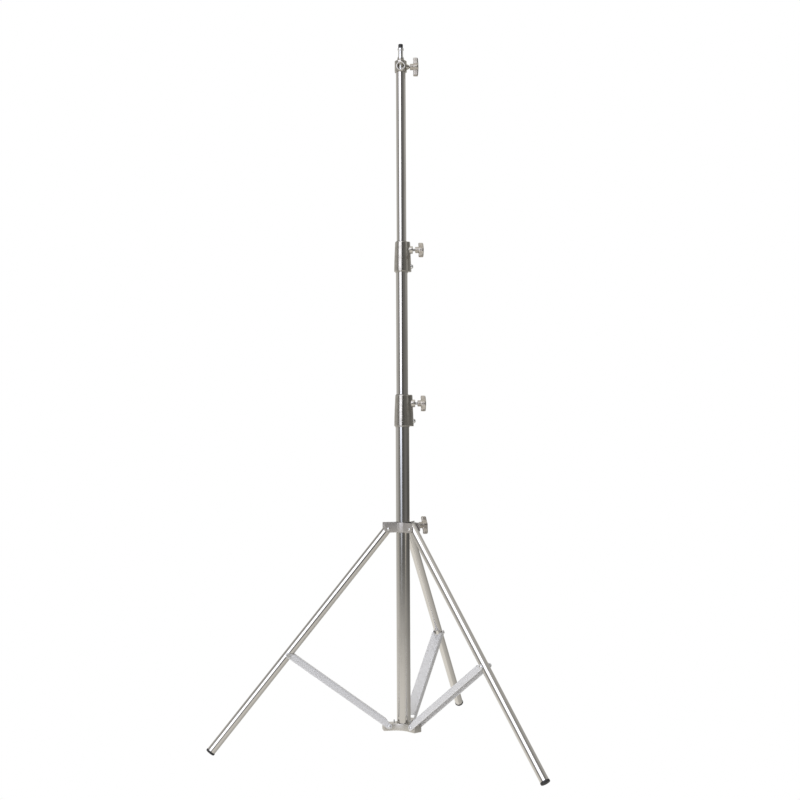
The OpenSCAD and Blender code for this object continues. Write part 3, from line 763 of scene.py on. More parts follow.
@dataclass(frozen=True)
class Collar:
    """Clamp collar: a tapered barrel with a tapered rib, a knob boss and a lip under it, cast in one."""

    name: str
    body: str
    height: float
    barrel: tuple[float, float]
    rib_x: float
    rib: tuple[float, float]
    seat_radius: float
    seat_height: float
    bore_radius: float
    knob_rise: float
    boss_end: float
    screw_rise: float
    screw_tip: float
    lip: float = 2.2
    boss_radius: float = 9.8
    screw_head: float = 6.0
    screw_dome: float = 5.5

    def place(self) -> Place:
        """The collar's own frame, with its origin at the barrel's underside."""
        return upright(low(self.name) + self.lip * MM)

    def outline(self, z: np.ndarray, inset: np.ndarray, angle: np.ndarray) -> np.ndarray:
        """Outer radius at a height and angle: the gently swelled barrel and the rib, joined by a fillet.

        From the column axis, the rib circle of radius q centred at x is met at
        x cos(angle) + root of (q^2 - x^2 sin^2(angle)).
        """
        rise = z / (self.height - 2)
        swell = np.clip(rise, 0, 1) ** 1.5
        barrel = self.barrel[0] + (self.barrel[1] - self.barrel[0]) * swell - inset
        rib = self.rib[0] + (self.rib[1] - self.rib[0]) * rise - inset
        inside = rib ** 2 - (self.rib_x * np.sin(angle)) ** 2
        reach = np.where((inside > 0) & (np.cos(angle) > 0),
                         self.rib_x * np.cos(angle) + np.sqrt(np.maximum(inside, 0)), 0)
        return np.where(reach > 0, smooth_max(barrel, reach, 2.2), barrel)

    def casting(self) -> Shape:
        """Barrel, rib, lip and bores as one polar surface, with its edges rounded over a quarter turn."""
        quarter = np.linspace(0, math.pi / 2, 7)
        under, over = 1.5, 2.2
        z = np.concatenate([under * (1 - np.cos(quarter)), np.linspace(under, self.height - over, 62)[1:-1],
                            self.height - over * (1 - np.sin(quarter))])
        inset = np.concatenate([under * (1 - np.sin(quarter)), np.zeros(60), over * (1 - np.cos(quarter))])
        angle = turn_angles(288)[None, :]
        outer = self.outline(z[:, None], inset[:, None], angle)
        lip = np.array([[self.seat_radius + 1.1, -self.lip], [self.seat_radius + 1.1, 0]])
        bores = np.array([[self.bore_radius, self.height], [self.bore_radius, self.seat_height],
                          [self.seat_radius, self.seat_height], [self.seat_radius, -self.lip]])
        radius = np.concatenate([lip[:, :1] + 0 * angle, outer, bores[:, :1] + 0 * angle])
        height = np.concatenate([lip[:, 1], z, bores[:, 1]])[:, None] + 0 * angle
        points = self.place().put(np.stack([radius * np.cos(angle), radius * np.sin(angle), height], -1))
        return Shape().grid(points, wrap_rows=True, wrap_cols=True)

    def boss(self) -> Shape:
        """The round boss under the knob, from inside the rib to its rolled rim."""
        start = self.rib_x + 2
        profile = rounded([
            [0, start], [self.boss_radius - 2.5, start], [self.boss_radius, start + 4],
            [self.boss_radius, self.boss_end], [0, self.boss_end],
        ], [0, 1, 2, 1.3, 0], 6, closed=False)
        return Shape().lathe(self.place().shifted(z=self.knob_rise).tipped("x"), profile, 96)

    def domed_screw(self) -> Shape:
        """The domed retaining screw: a cap of a ball with a hexagon socket, on a plain shank."""
        place = self.place().shifted(z=self.screw_rise).tipped("x")
        rise = self.screw_rise / (self.height - 2)
        face = self.rib_x + self.rib[0] + (self.rib[1] - self.rib[0]) * rise + 0.35
        ball = (self.screw_head ** 2 + self.screw_dome ** 2) / (2 * self.screw_dome)
        t = np.linspace(math.asin(self.screw_head / ball), math.asin(2.6 / ball), 20)
        dome = np.stack([ball * np.sin(t), face + self.screw_dome - ball + ball * np.cos(t)], 1)
        socket = np.array([[2.4, dome[-1, 1] - 0.2], [2.4, dome[-1, 1] - 2.4], [0, dome[-1, 1] - 2.4]])
        shank = [[2.5, self.screw_tip], [2.5, face - 1.2], [self.screw_head, face - 1.2]]
        profile = np.concatenate([shank, dome, socket])

        def hexagon(r: np.ndarray, z: np.ndarray, angle: np.ndarray) -> np.ndarray:
            """In the socket, the radius follows a hexagon's side: r / cos of the angle from its middle."""
            across = (angle + math.pi / 6) % (math.pi / 3) - math.pi / 6
            inside = np.arange(len(r))[:, None] >= len(r) - 3
            return np.where(inside, r * 0.9 / np.cos(across), r)

        return Shape().lathe(place, profile, 72, radius=hexagon)

    def make(self) -> None:
        """Builds and dresses the casting and its screw."""
        casting = self.casting().build(f"{self.name}_casting")
        weld(casting, [self.boss().build("boss")])
        across = self.place().shifted(z=self.knob_rise).tipped("x")
        drill(casting, [(across, SCREW_HOLE, 0, self.boss_end + 2)], 40)
        dress(casting, COLLAR_METAL.material(f"{self.name}_plating"), self.body, Slot.CAST, self.name)
        screw = self.domed_screw().build(f"{self.name}_domed_screw")
        place = self.place().shifted(z=self.screw_rise).tipped("x")
        dress(screw, BRIGHT_STEEL.material(f"{self.name}_screw_plating", place), self.body, Slot.FASTENER,
              f"{self.name}_screw")


# --- the three sections of the mast --------------------------------------------------------------


@dataclass(frozen=True)
class Mast:
    """Column tube, two riser tubes and what guides them."""

    column: tuple[float, float] = (17.5, 1.2)
    middle: tuple[float, float] = (15.0, 1.1)
    top: tuple[float, float] = (12.5, 1.0)
    hidden_liners: tuple[str, ...] = (
        "column_plug", "lower_collar_bush", "lower_pressure_pad", "middle_tube_bush",
        "upper_collar_bush", "upper_pressure_pad", "top_tube_bush", "yoke_sleeve", "yoke_pressure_pad",
    )

    def make(self) -> None:
        """Builds and dresses the three tubes, and dresses the liners inside them."""
        for node, body, (radius, wall) in (("column_tube", "column", self.column),
                                           ("middle_tube", "middle_riser", self.middle),
                                           ("top_tube", "top_riser", self.top)):
            start, end = low(node) / MM, high(node) / MM
            rows = np.linspace(start, end, 9)[1:-1]
            tube = Tube(radius, wall, start, end).shape(UPRIGHT, rows).build(f"{node}_polished")
            dress(tube, TUBE_STEEL.material(f"{node}_steel", UPRIGHT), body, Slot.TUBE, node)
        nylon = BLACK_NYLON.material("liner_nylon")
        for node in self.hidden_liners:
            dress_node(node, nylon)
        dress_node("column_bolt", BRIGHT_STEEL.material("column_bolt_steel", UPRIGHT))


# --- head, stud and cap --------------------------------------------------------------------------


@dataclass(frozen=True)
class Head:
    """Cast head with an upright stud socket and a cross socket, its turned stud and the stud's cap."""

    radius: float = 15.6
    shoulder: float = 28.3
    shoulder_top: float = 32.2
    neck_radius: float = 8.9
    neck_top: float = 35.7
    plug_radius: float = 11.47
    plug_depth: float = 26.0
    socket_radius: float = 7.56
    socket_floor: float = 5.2
    cross_rise: float = 12.9
    cross_radius: float = 8.1
    barrel_radius: float = 12.0
    barrel_reach: float = 16.4
    boss_rise: float = 14.0
    boss_base: float = 10.0
    boss_tip: float = 4.8
    boss_end: float = 21.8
    shank: float = 7.5
    stud: float = 7.95
    waist: float = 6.3
    waist_low: float = 39.3
    waist_high: float = 56.9
    stud_top: float = 61.8
    thread: float = 4.6
    thread_top: float = 69.5
    cap_top: float = 72.7
    cap_radius: float = 6.0

    def place(self) -> Place:
        """The head's own frame, with its origin where it sits on the top tube."""
        return upright(high("top_tube"))

    def casting(self) -> Shape:
        """The head's solids, ready to fuse: body with its socket, two cross barrels and the boss."""
        body = rounded([
            [0, -self.plug_depth], [self.plug_radius, -self.plug_depth], [self.plug_radius, 0.4],
            [self.radius, 0.0], [self.radius, self.shoulder], [self.neck_radius, self.shoulder_top],
            [self.neck_radius, self.neck_top], [self.socket_radius, self.neck_top],
            [self.socket_radius, self.socket_floor], [0, self.socket_floor],
        ], [0, 0.8, 0, 0.8, 0.9, 0.6, 0.5, 0.2, 0, 0], 7, closed=False)
        dense = np.concatenate([np.linspace(a, b, 5)[:-1] for a, b in zip(body[:-1], body[1:])] + [body[-1:]])
        shape = Shape().lathe(self.place(), dense, 160)
        cross = self.place().shifted(z=self.cross_rise).tipped("y")
        bore, rim, reach = self.cross_radius, self.barrel_radius, self.barrel_reach
        barrel = rounded([[bore, 9.0], [rim, 9.0], [rim, reach], [bore, reach]], [0, 0, 0.9, 0.5], 6)
        shape.lathe(cross, barrel, 128, ring=True)
        shape.lathe(cross, barrel * [1, -1], 128, ring=True)
        cone = rounded([[0, 6], [self.boss_base, 10], [self.boss_tip, self.boss_end], [0, self.boss_end]],
                       [0, 0, 0.8, 0], 6, closed=False)
        return shape.lathe(self.place().shifted(z=self.boss_rise).tipped("x"), cone, 96)

    def stud_shape(self) -> Shape:
        """The stud: shank, gripped length, waist between two radiused shoulders, and a threaded end."""
        profile = rounded([
            [0, self.socket_floor], [self.shank, self.socket_floor], [self.shank, self.neck_top],
            [self.stud, self.neck_top], [self.stud, self.waist_low], [self.waist, self.waist_low + 1.0],
            [self.waist, self.waist_high - 1.0], [self.stud, self.waist_high], [self.stud, self.stud_top],
            [self.thread + 0.2, self.stud_top],
        ], [0, 0.6, 0, 0.15, 0.3, 0.6, 0.6, 0.3, 0.7, 0.1], 6, closed=False)
        pitch = 1.5
        turns = np.arange(self.stud_top + 0.05, self.thread_top - 1.0, pitch / 8)
        tip = self.thread_top
        end = [[self.thread, tip - 0.8], [self.thread - 0.8, tip], [0, tip]]
        profile = np.concatenate([profile, np.stack([np.full(len(turns), self.thread), turns], 1), end])
        first = len(profile) - len(turns) - len(end)
        rows = np.arange(len(profile))[:, None]

        def helix(r: np.ndarray, z: np.ndarray, angle: np.ndarray) -> np.ndarray:
            """On the end, the radius less a rounded V whose phase climbs one pitch each turn."""
            phase = (z / pitch + angle / (2 * math.pi)) % 1.0
            return np.where((rows >= first) & (rows < len(profile) - 3), r - 0.55 * np.abs(2 * phase - 1), r)

        return Shape().lathe(self.place(), profile, 96, radius=helix)

    def cap_shape(self) -> Shape:
        """The cap: a thimble with a domed top and shallow flutes, open below for the thread."""
        base, inner = self.stud_top + 0.05, self.thread + 0.06
        profile = rounded([[inner, base], [self.cap_radius, base], [self.cap_radius, self.cap_top],
                           [0, self.cap_top]], [0, 0.3, 1.4, 0], 7, closed=False)
        inside = [[0, self.thread_top + 0.1], [inner, self.thread_top + 0.1]]
        loop = np.concatenate([profile, inside])

        def flutes(r: np.ndarray, z: np.ndarray, angle: np.ndarray) -> np.ndarray:
            """The side's radius less a shallow scallop, 20 round the cap, faded out near its ends."""
            side = (np.abs(r - self.cap_radius) < 0.01) & (z > base + 0.6) & (z < self.cap_top - 1.5)
            return r - np.where(side, 0.22 * np.abs(np.cos(10 * angle)), 0)

        rows = np.linspace(base + 0.7, self.cap_top - 1.6, 6)
        side = np.stack([np.full(6, self.cap_radius), rows], 1)
        split = int(np.argmax(loop[:, 1] > base + 0.65))
        loop = np.concatenate([loop[:split], side, loop[split:]])
        return Shape().lathe(self.place(), loop, 160, ring=True, radius=flutes)

    def make(self) -> None:
        """Builds and dresses the head, the stud and its cap."""
        place = self.place()
        casting = self.casting().build("head_casting")
        fuse(casting, 0.4, 3)
        cross = place.shifted(z=self.cross_rise).tipped("y")
        drill(casting, [(cross, self.cross_radius, -20, 20),
                        (place.shifted(z=self.boss_rise).tipped("x"), SCREW_HOLE, 4, 24)], 40)
        dress(casting, COLLAR_METAL.material("head_plating"), "top_riser", Slot.CAST, "head")
        stud = self.stud_shape().build("spigot_stud", 50)
        dress(stud, BRIGHT_STEEL.material("spigot_steel", place), "spigot", Slot.SCREW, "spigot")
        cap = self.cap_shape().build("thread_cap_moulding", 60)
        dress(cap, BLACK_NYLON.material("thread_cap_nylon"), "thread_cap", Slot.NYLON, "thread_cap")
        dress_node("head_pin", BRIGHT_STEEL.material("head_pin_steel", place.tipped("x")))


# --- rivets, bolts and nuts ----------------------------------------------------------------------


def dome(shape: Shape, place: Place, radius: float, rise: float, shank: float, depth: float) -> Shape:
    """Adds a domed head on the place's XY plane, a cap of a ball with a rolled rim, and its shank."""
    ball = (radius ** 2 + rise ** 2) / (2 * rise)
    t = np.linspace(math.asin(min(1.0, radius / ball)), 0, 14)
    cap = np.stack([ball * np.sin(t), rise - ball + ball * np.cos(t)], 1)
    profile = np.concatenate([[[0, -depth], [shank, -depth], [shank, 0], [radius - 0.15, 0]], cap[1:]])
    return shape.lathe(place, profile, 56)


def hex_nut(shape: Shape, place: Place, corner: float, height: float, bore: float) -> Shape:
    """Adds a chamfered hexagon nut with its bore.

    The outer radius is the hexagon's side, apothem / cos(angle from its middle), limited by a
    30 degree cone at each face.
    """
    z = np.concatenate([np.linspace(0, 0.9, 5), np.linspace(height - 0.9, height, 5)])
    rows = np.concatenate([np.stack([np.full(10, corner), z], 1), [[bore, height], [bore, 0]]])
    apothem = corner * math.cos(math.pi / 6)

    def side(r: np.ndarray, h: np.ndarray, angle: np.ndarray) -> np.ndarray:
        """The hexagon's side under the two cones, and the bore left round."""
        across = (angle + math.pi / 6) % (math.pi / 3) - math.pi / 6
        cone = apothem + 1.732 * np.minimum(h, height - h)
        return np.where(r > bore + 0.01, np.minimum(apothem / np.cos(across), cone), r)

    return shape.lathe(place, rows, 96, ring=True, radius=side)


# --- the folding base ----------------------------------------------------------------------------


@dataclass(frozen=True)
class LegLine:
    """Where one leg and its strut lie."""

    name: str
    spread: float = 39.5
    strut_joint: float = 400.0
    leg_length: float = 704.0

    def pivot(self, fold: str) -> np.ndarray:
        """Where the leg's or the strut's folding joint is, in metres."""
        return np.array(JOINTS[f"{self.name}_{fold}_fold"]["pos_m"])

    def outward(self) -> np.ndarray:
        """Level direction from the column towards the foot."""
        bolt = self.pivot("leg")
        return np.array([bolt[0], bolt[1], 0]) / math.hypot(bolt[0], bolt[1])

    def leg(self) -> Place:
        """The leg's frame: its origin is the upper pivot, and Z runs down the leg, with X facing up."""
        s, c = math.sin(math.radians(self.spread)), math.cos(math.radians(self.spread))
        down = self.outward() * s + np.array([0, 0, -c])
        top = self.pivot("leg") - down * self.strut_joint * MM
        return Place.along(top, down, self.outward() * c + np.array([0, 0, s]))

    def strut(self) -> Place:
        """The strut's frame: its origin is the spider pivot, Z runs up the strut and X faces outwards."""
        start = self.pivot("strut")
        up = self.pivot("leg") - start
        level = self.outward() - up * (self.outward() @ up) / (up @ up)
        return Place.along(start, up, level)

    def strut_length(self) -> float:
        """Distance between the strut's pivots in millimetres."""
        return float(np.linalg.norm(self.pivot("leg") - self.pivot("strut"))) / MM

    def spider_pivot(self) -> Place:
        """A frame at the spider's pivot: Z runs along the pivot and X outwards."""
        return Place.along(self.pivot("strut"), np.cross([0, 0, 1], self.outward()), self.outward())

    def yoke_pivot(self) -> Place:
        """A frame at the yoke's pivot: Z runs along the pivot and X outwards."""
        return Place.along(self.leg().origin, np.cross([0, 0, 1], self.outward()), self.outward())


@dataclass(frozen=True)
class Strut:
    """Pressed channel between the spider and a leg, with its bolt and nut."""

    line: LegLine
    gap: float = 12.6
    wall: float = 1.4
    back: float = 10.5
    front: float = 6.4
    web_start: float = 14.0
    web_stop: float = 12.0
    notch: float = 19.0
    notch_half: float = 7.0
    bend: float = 2.6

    def channel(self) -> Shape:
        """The folded sheet's middle surface: flange, bend, web, bend and flange, swept along the strut.

        Rows lie along the strut, closer together round the two half-circle ends. On each row the
        flanges run from the front edge to the back edge, which tapers towards the ends, and the
        web's and bends' faces are left out where the web is cut back or notched.
        """
        length = self.line.strut_length()
        start, stop = self.web_start, length - self.web_stop
        quarter = np.linspace(0, math.radians(84), 9)
        z = np.concatenate([
            -self.front * np.sin(quarter[::-1]), np.linspace(0, start, 5)[1:],
            np.linspace(start, length - self.notch, 40)[1:], np.linspace(length - self.notch, stop, 4)[1:],
            np.linspace(stop, length, 5)[1:], length + self.front * np.sin(quarter[1:]),
        ])
        y_out, x_web = self.gap + self.wall / 2, self.wall / 2 - self.back
        r = self.bend - self.wall / 2
        beyond = np.maximum(np.maximum(-z, z - length), 0)
        round_half = np.sqrt(np.maximum(self.front ** 2 - beyond ** 2, 0))
        front = np.where(beyond > 0, round_half, self.front)
        taper = np.clip(np.minimum(z / start, (length - z) / self.web_stop), 0, 1)
        back = -np.where(beyond > 0, round_half, self.front + (-(x_web + r) - self.front) * taper)
        t = np.linspace(0, math.pi / 2, 6)
        flange = np.linspace(0, 1, 5)
        flange_x = front[:, None] + (back - front)[:, None] * flange[None, :]
        bend_x = np.broadcast_to(x_web + r - r * np.sin(t[1:]), (len(z), 5))
        bend_y = y_out - r + r * np.cos(t[1:])
        web_y = np.array([self.notch_half, self.notch_half / 2, 0, -self.notch_half / 2, -self.notch_half])
        web_x = np.full((len(z), len(web_y)), x_web)
        x = np.concatenate([flange_x, bend_x, web_x, bend_x[:, ::-1], flange_x[:, ::-1]], 1)
        y = np.concatenate([np.full(5, y_out), bend_y, web_y, -bend_y[::-1], np.full(5, -y_out)])
        points = np.stack([x, np.broadcast_to(y, x.shape), np.broadcast_to(z[:, None], x.shape)], -1)
        row_mid = ((z[:-1] + z[1:]) / 2)[:, None]
        col = np.arange(x.shape[1] - 1)[None, :]
        fold = (col >= 4) & (col < x.shape[1] - 5)
        web = (col >= 10) & (col < 14)
        has_web = (row_mid > start) & (row_mid < stop)
        keep = (~fold | has_web) & ~(web & (row_mid > length - self.notch))
        return Shape().grid(self.line.strut().put(points), keep=keep)

    def make(self) -> None:
        """Builds and dresses the channel, the bolt and the nut."""
        name = self.line.name
        body = f"{name}_strut"
        sheet = self.channel().build(f"{name}_strut_channel", 40)
        wall = sheet.modifiers.new("Sheet", "SOLIDIFY")
        wall.thickness = self.wall * MM
        wall.offset = 0.0
        wall.use_even_offset = True
        edge = sheet.modifiers.new("Deburr", "BEVEL")
        edge.width = 0.3 * MM
        edge.segments = 2
        edge.limit_method = "ANGLE"
        edge.angle_limit = math.radians(50)
        settle(sheet, 40)
        dress(sheet, STRUT_SHEET.material(f"{name}_strut_sheet", self.line.strut()), body, Slot.STRUT, body)
        bolt_place = self.line.strut().shifted(z=self.line.strut_length())
        face = self.gap + self.wall + 0.03
        x_axis, y_axis, _ = bolt_place.axes.T
        away = Place.along(bolt_place.put(np.array([0, -face, 0])), -y_axis, x_axis)
        head = dome(Shape(), away, 5.0, 3.0, 3.0, 2 * face + 5.0)
        steel = BRIGHT_STEEL.material(f"{name}_bolt_steel", away)
        dress(head.build(f"{name}_strut_domed_bolt"), steel, body, Slot.FASTENER, f"{name}_strut_bolt")
        nut = hex_nut(Shape(), bolt_place.shifted(y=face).tipped("y"), 5.6, 4.0, 3.03)
        dress(nut.build(f"{name}_strut_hex_nut", 30), steel, body, Slot.FASTENER, f"{name}_strut_nut")


@dataclass(frozen=True)
class Leg:
    """Leg tube with a plug in its upper end and a foot cap on its lower end."""

    line: LegLine
    radius: float = 11.0
    wall: float = 1.0
    overrun: float = 11.0
    plug_rim: float = 1.2
    foot_radius: float = 11.8
    foot_lip: float = 5.5
    foot_round: float = 2.0
    hole: float = 3.06

    def foot_shape(self) -> Shape:
        """The foot cap: a rolled rim below the tube, a shallow tread of rings, and a stem inside."""
        length = self.line.leg_length
        top = length - self.foot_lip
        radii = (8.6, 7.9, 6.3, 5.6, 4.0, 3.3, 1.7)
        tread = [[r, length - (0.6 if i % 2 else 0.0)] for i, r in enumerate(radii)]
        profile = rounded([
            [0, top - 24], [self.radius - self.wall - 0.03, top - 24], [self.radius - self.wall - 0.03, top],
            [self.foot_radius, top], [self.foot_radius, length], *tread, [0, length - 0.6],
        ], [0, 1, 0, 0.7, self.foot_round, *[0.12] * 7, 0], 7, closed=False)
        return Shape().lathe(self.line.leg(), profile, 96)

    def plug_shape(self) -> Shape:
        """The plug: a domed rim above the tube's end, and a skirt inside it."""
        end, rim = -self.overrun, self.radius - 0.4
        inner = self.radius - self.wall - 0.03
        profile = rounded([
            [0, end - self.plug_rim], [rim, end - self.plug_rim], [rim, end], [inner, end],
            [inner, end + 6], [inner - 2, end + 6], [inner - 2, end], [0, end],
        ], [0, 0.9, 0, 0, 0.4, 0.4, 0, 0], 6, closed=False)
        return Shape().lathe(self.line.leg(), profile, 80)

    def make(self) -> None:
        """Builds and dresses the tube, the plug and the foot."""
        name, place = self.line.name, self.line.leg()
        joint, length = self.line.strut_joint, self.line.leg_length
        near = [-9, -5, 5, 9, 40, 150, *(joint + step for step in (-40, -9, -5, 5, 9, 40)), 600]
        tube = Tube(self.radius, self.wall, -self.overrun, length - self.foot_lip).shape(place, near)
        tube = tube.build(f"{name}_leg_polished")
        drill(tube, [(place.shifted(z=z).tipped("y"), self.hole, -14, 14) for z in (0, joint)], 38)
        body = f"{name}_leg"
        dress(tube, TUBE_STEEL.material(f"{name}_leg_steel", place), body, Slot.TUBE, f"{name}_leg_tube")
        plug = self.plug_shape().build(f"{name}_leg_end_plug")
        dress(plug, BLACK_NYLON.material(f"{name}_plug_nylon"), body, Slot.NYLON, f"{name}_leg_plug")
        foot = self.foot_shape().build(f"{name}_foot_cap", 50)
        dress(foot, FOOT_RUBBER.material(f"{name}_foot_rubber"), body, Slot.RUBBER, f"{name}_foot")


@dataclass(frozen=True)
class Spider:
    """Three-armed casting at the column's foot, the rivets through its arms and three short pins on them."""

    lines: tuple[LegLine, ...]
    arm_half: float = 12.3
    arm_end: float = 54.0
    arc_start: float = 33.0
    socket: float = 17.53
    height: float = 17.4
    seat: float = 7.7
    edge: float = 1.1
    grip: float = 14.2
    pin_at: float = 25.0
    pin_radius: float = 1.6
    pin_tall: float = 8.0
    pin_deep: float = 7.9

    def outline(self) -> np.ndarray:
        """A third of the outline, turned three times: an arm's rounded end and the arc to the next arm.

        The arc touches the arms' sides where they are arc_start from the axis. Its centre lies
        twice arc_start out, half way between the arms, so it is swept from 90 to 150 degrees clockwise.
        """
        centre = 2 * self.arc_start
        radius = centre * math.sin(math.radians(60)) - self.arm_half
        root, tip, half = self.arc_start, self.arm_end, self.arm_half
        corners = [[root, -half], [tip, -half], [tip, half], [root, half]]
        end = rounded(corners, [0, 2.2, 2.2, 0], 7, closed=False)
        sweep = np.radians(np.linspace(-90, -150, 40))[1:-1]
        arc = np.stack([centre * math.cos(math.radians(60)) + radius * np.cos(sweep),
                        centre * math.sin(math.radians(60)) + radius * np.sin(sweep)], 1)
        third = np.concatenate([end, arc])
        turns = [np.array([[math.cos(a), math.sin(a)], [-math.sin(a), math.cos(a)]])
                 for a in (0, 2 * math.pi / 3, 4 * math.pi / 3)]
        return np.concatenate([third @ turn for turn in turns])

    def casting(self, place: Place) -> Shape:
        """The casting: rows go down the socket, out over the rounded top edge, down the side and in below."""
        outline = self.outline()
        ahead = np.roll(outline, -1, 0) - np.roll(outline, 1, 0)
        inward = np.stack([-ahead[:, 1], ahead[:, 0]], 1)
        inward /= np.linalg.norm(inward, axis=1, keepdims=True)
        t = np.linspace(0, math.pi / 2, 5)
        e, h = self.edge, self.height
        inset = np.concatenate([e * (1 - np.sin(t)), e * (1 - np.cos(t))])
        height = np.concatenate([h - e * (1 - np.cos(t)), e * (1 - np.sin(t))])
        side = outline[None] + inward[None] * inset[:, None, None]
        direction = outline / np.linalg.norm(outline, axis=1, keepdims=True)
        rings = [(self.socket, self.seat), (self.socket, h - 0.6), (self.socket + 0.6, h)]
        top = [np.concatenate([direction * r, np.full((len(outline), 1), z)], 1) for r, z in rings]
        shelf = [np.concatenate([direction * (self.socket + 4), np.full((len(outline), 1), h)], 1)]
        body = np.concatenate([side, np.broadcast_to(height[:, None, None], side.shape[:2] + (1,))], 2)
        under = [np.concatenate([direction * r, np.full((len(outline), 1), z)], 1)
                 for r, z in ((12, 0.0), (8.5, 0.0), (8.5, 4.5))]
        rows = np.stack([*top, *shelf, *body, *under])
        return Shape().closed_rows(place.put(rows))

    def make(self) -> None:
        """Builds and dresses the casting and the rivets."""
        first = self.lines[0]
        place = Place.along((0, 0, low("spider")), (0, 0, 1), first.outward())
        casting = self.casting(place).build("spider_casting", 50)
        dress(casting, SPIDER_METAL.material("spider_satin"), "column", Slot.SPIDER, "spider")
        shape = Shape()
        for line in self.lines:
            pivot = line.spider_pivot()
            for side in (-1, 1):
                away = Place.along(pivot.put(np.array([0, 0, side * self.grip])), side * pivot.axes[:, 2],
                                   pivot.axes[:, 0])
                dome(shape, away, 4.2, 2.0, 3.0, 13.0)
        rivets = shape.build("spider_rivet_heads")
        steel = BRIGHT_STEEL.material("spider_rivet_steel", UPRIGHT)
        dress(rivets, steel, "column", Slot.FASTENER, "spider_rivets")
        radius, foot, tip = self.pin_radius, -self.pin_deep, self.pin_tall
        corners = [[0, foot], [radius, foot], [radius, tip], [0, tip]]
        profile = rounded(corners, [0, 0, 0.5, 0], 5, closed=False)
        shape = Shape()
        for line in self.lines:
            arm = Place.along((0, 0, low("spider")), (0, 0, 1), line.outward())
            spot = arm.put(np.array([self.pin_at, 0, self.height]))
            shape.lathe(Place.along(spot, (0, 0, 1), line.outward()), profile, 40)
        steel = BRIGHT_STEEL.material("spider_pin_steel", UPRIGHT)
        dress(shape.build("spider_upright_pins"), steel, "column", Slot.FASTENER, "spider_pins")


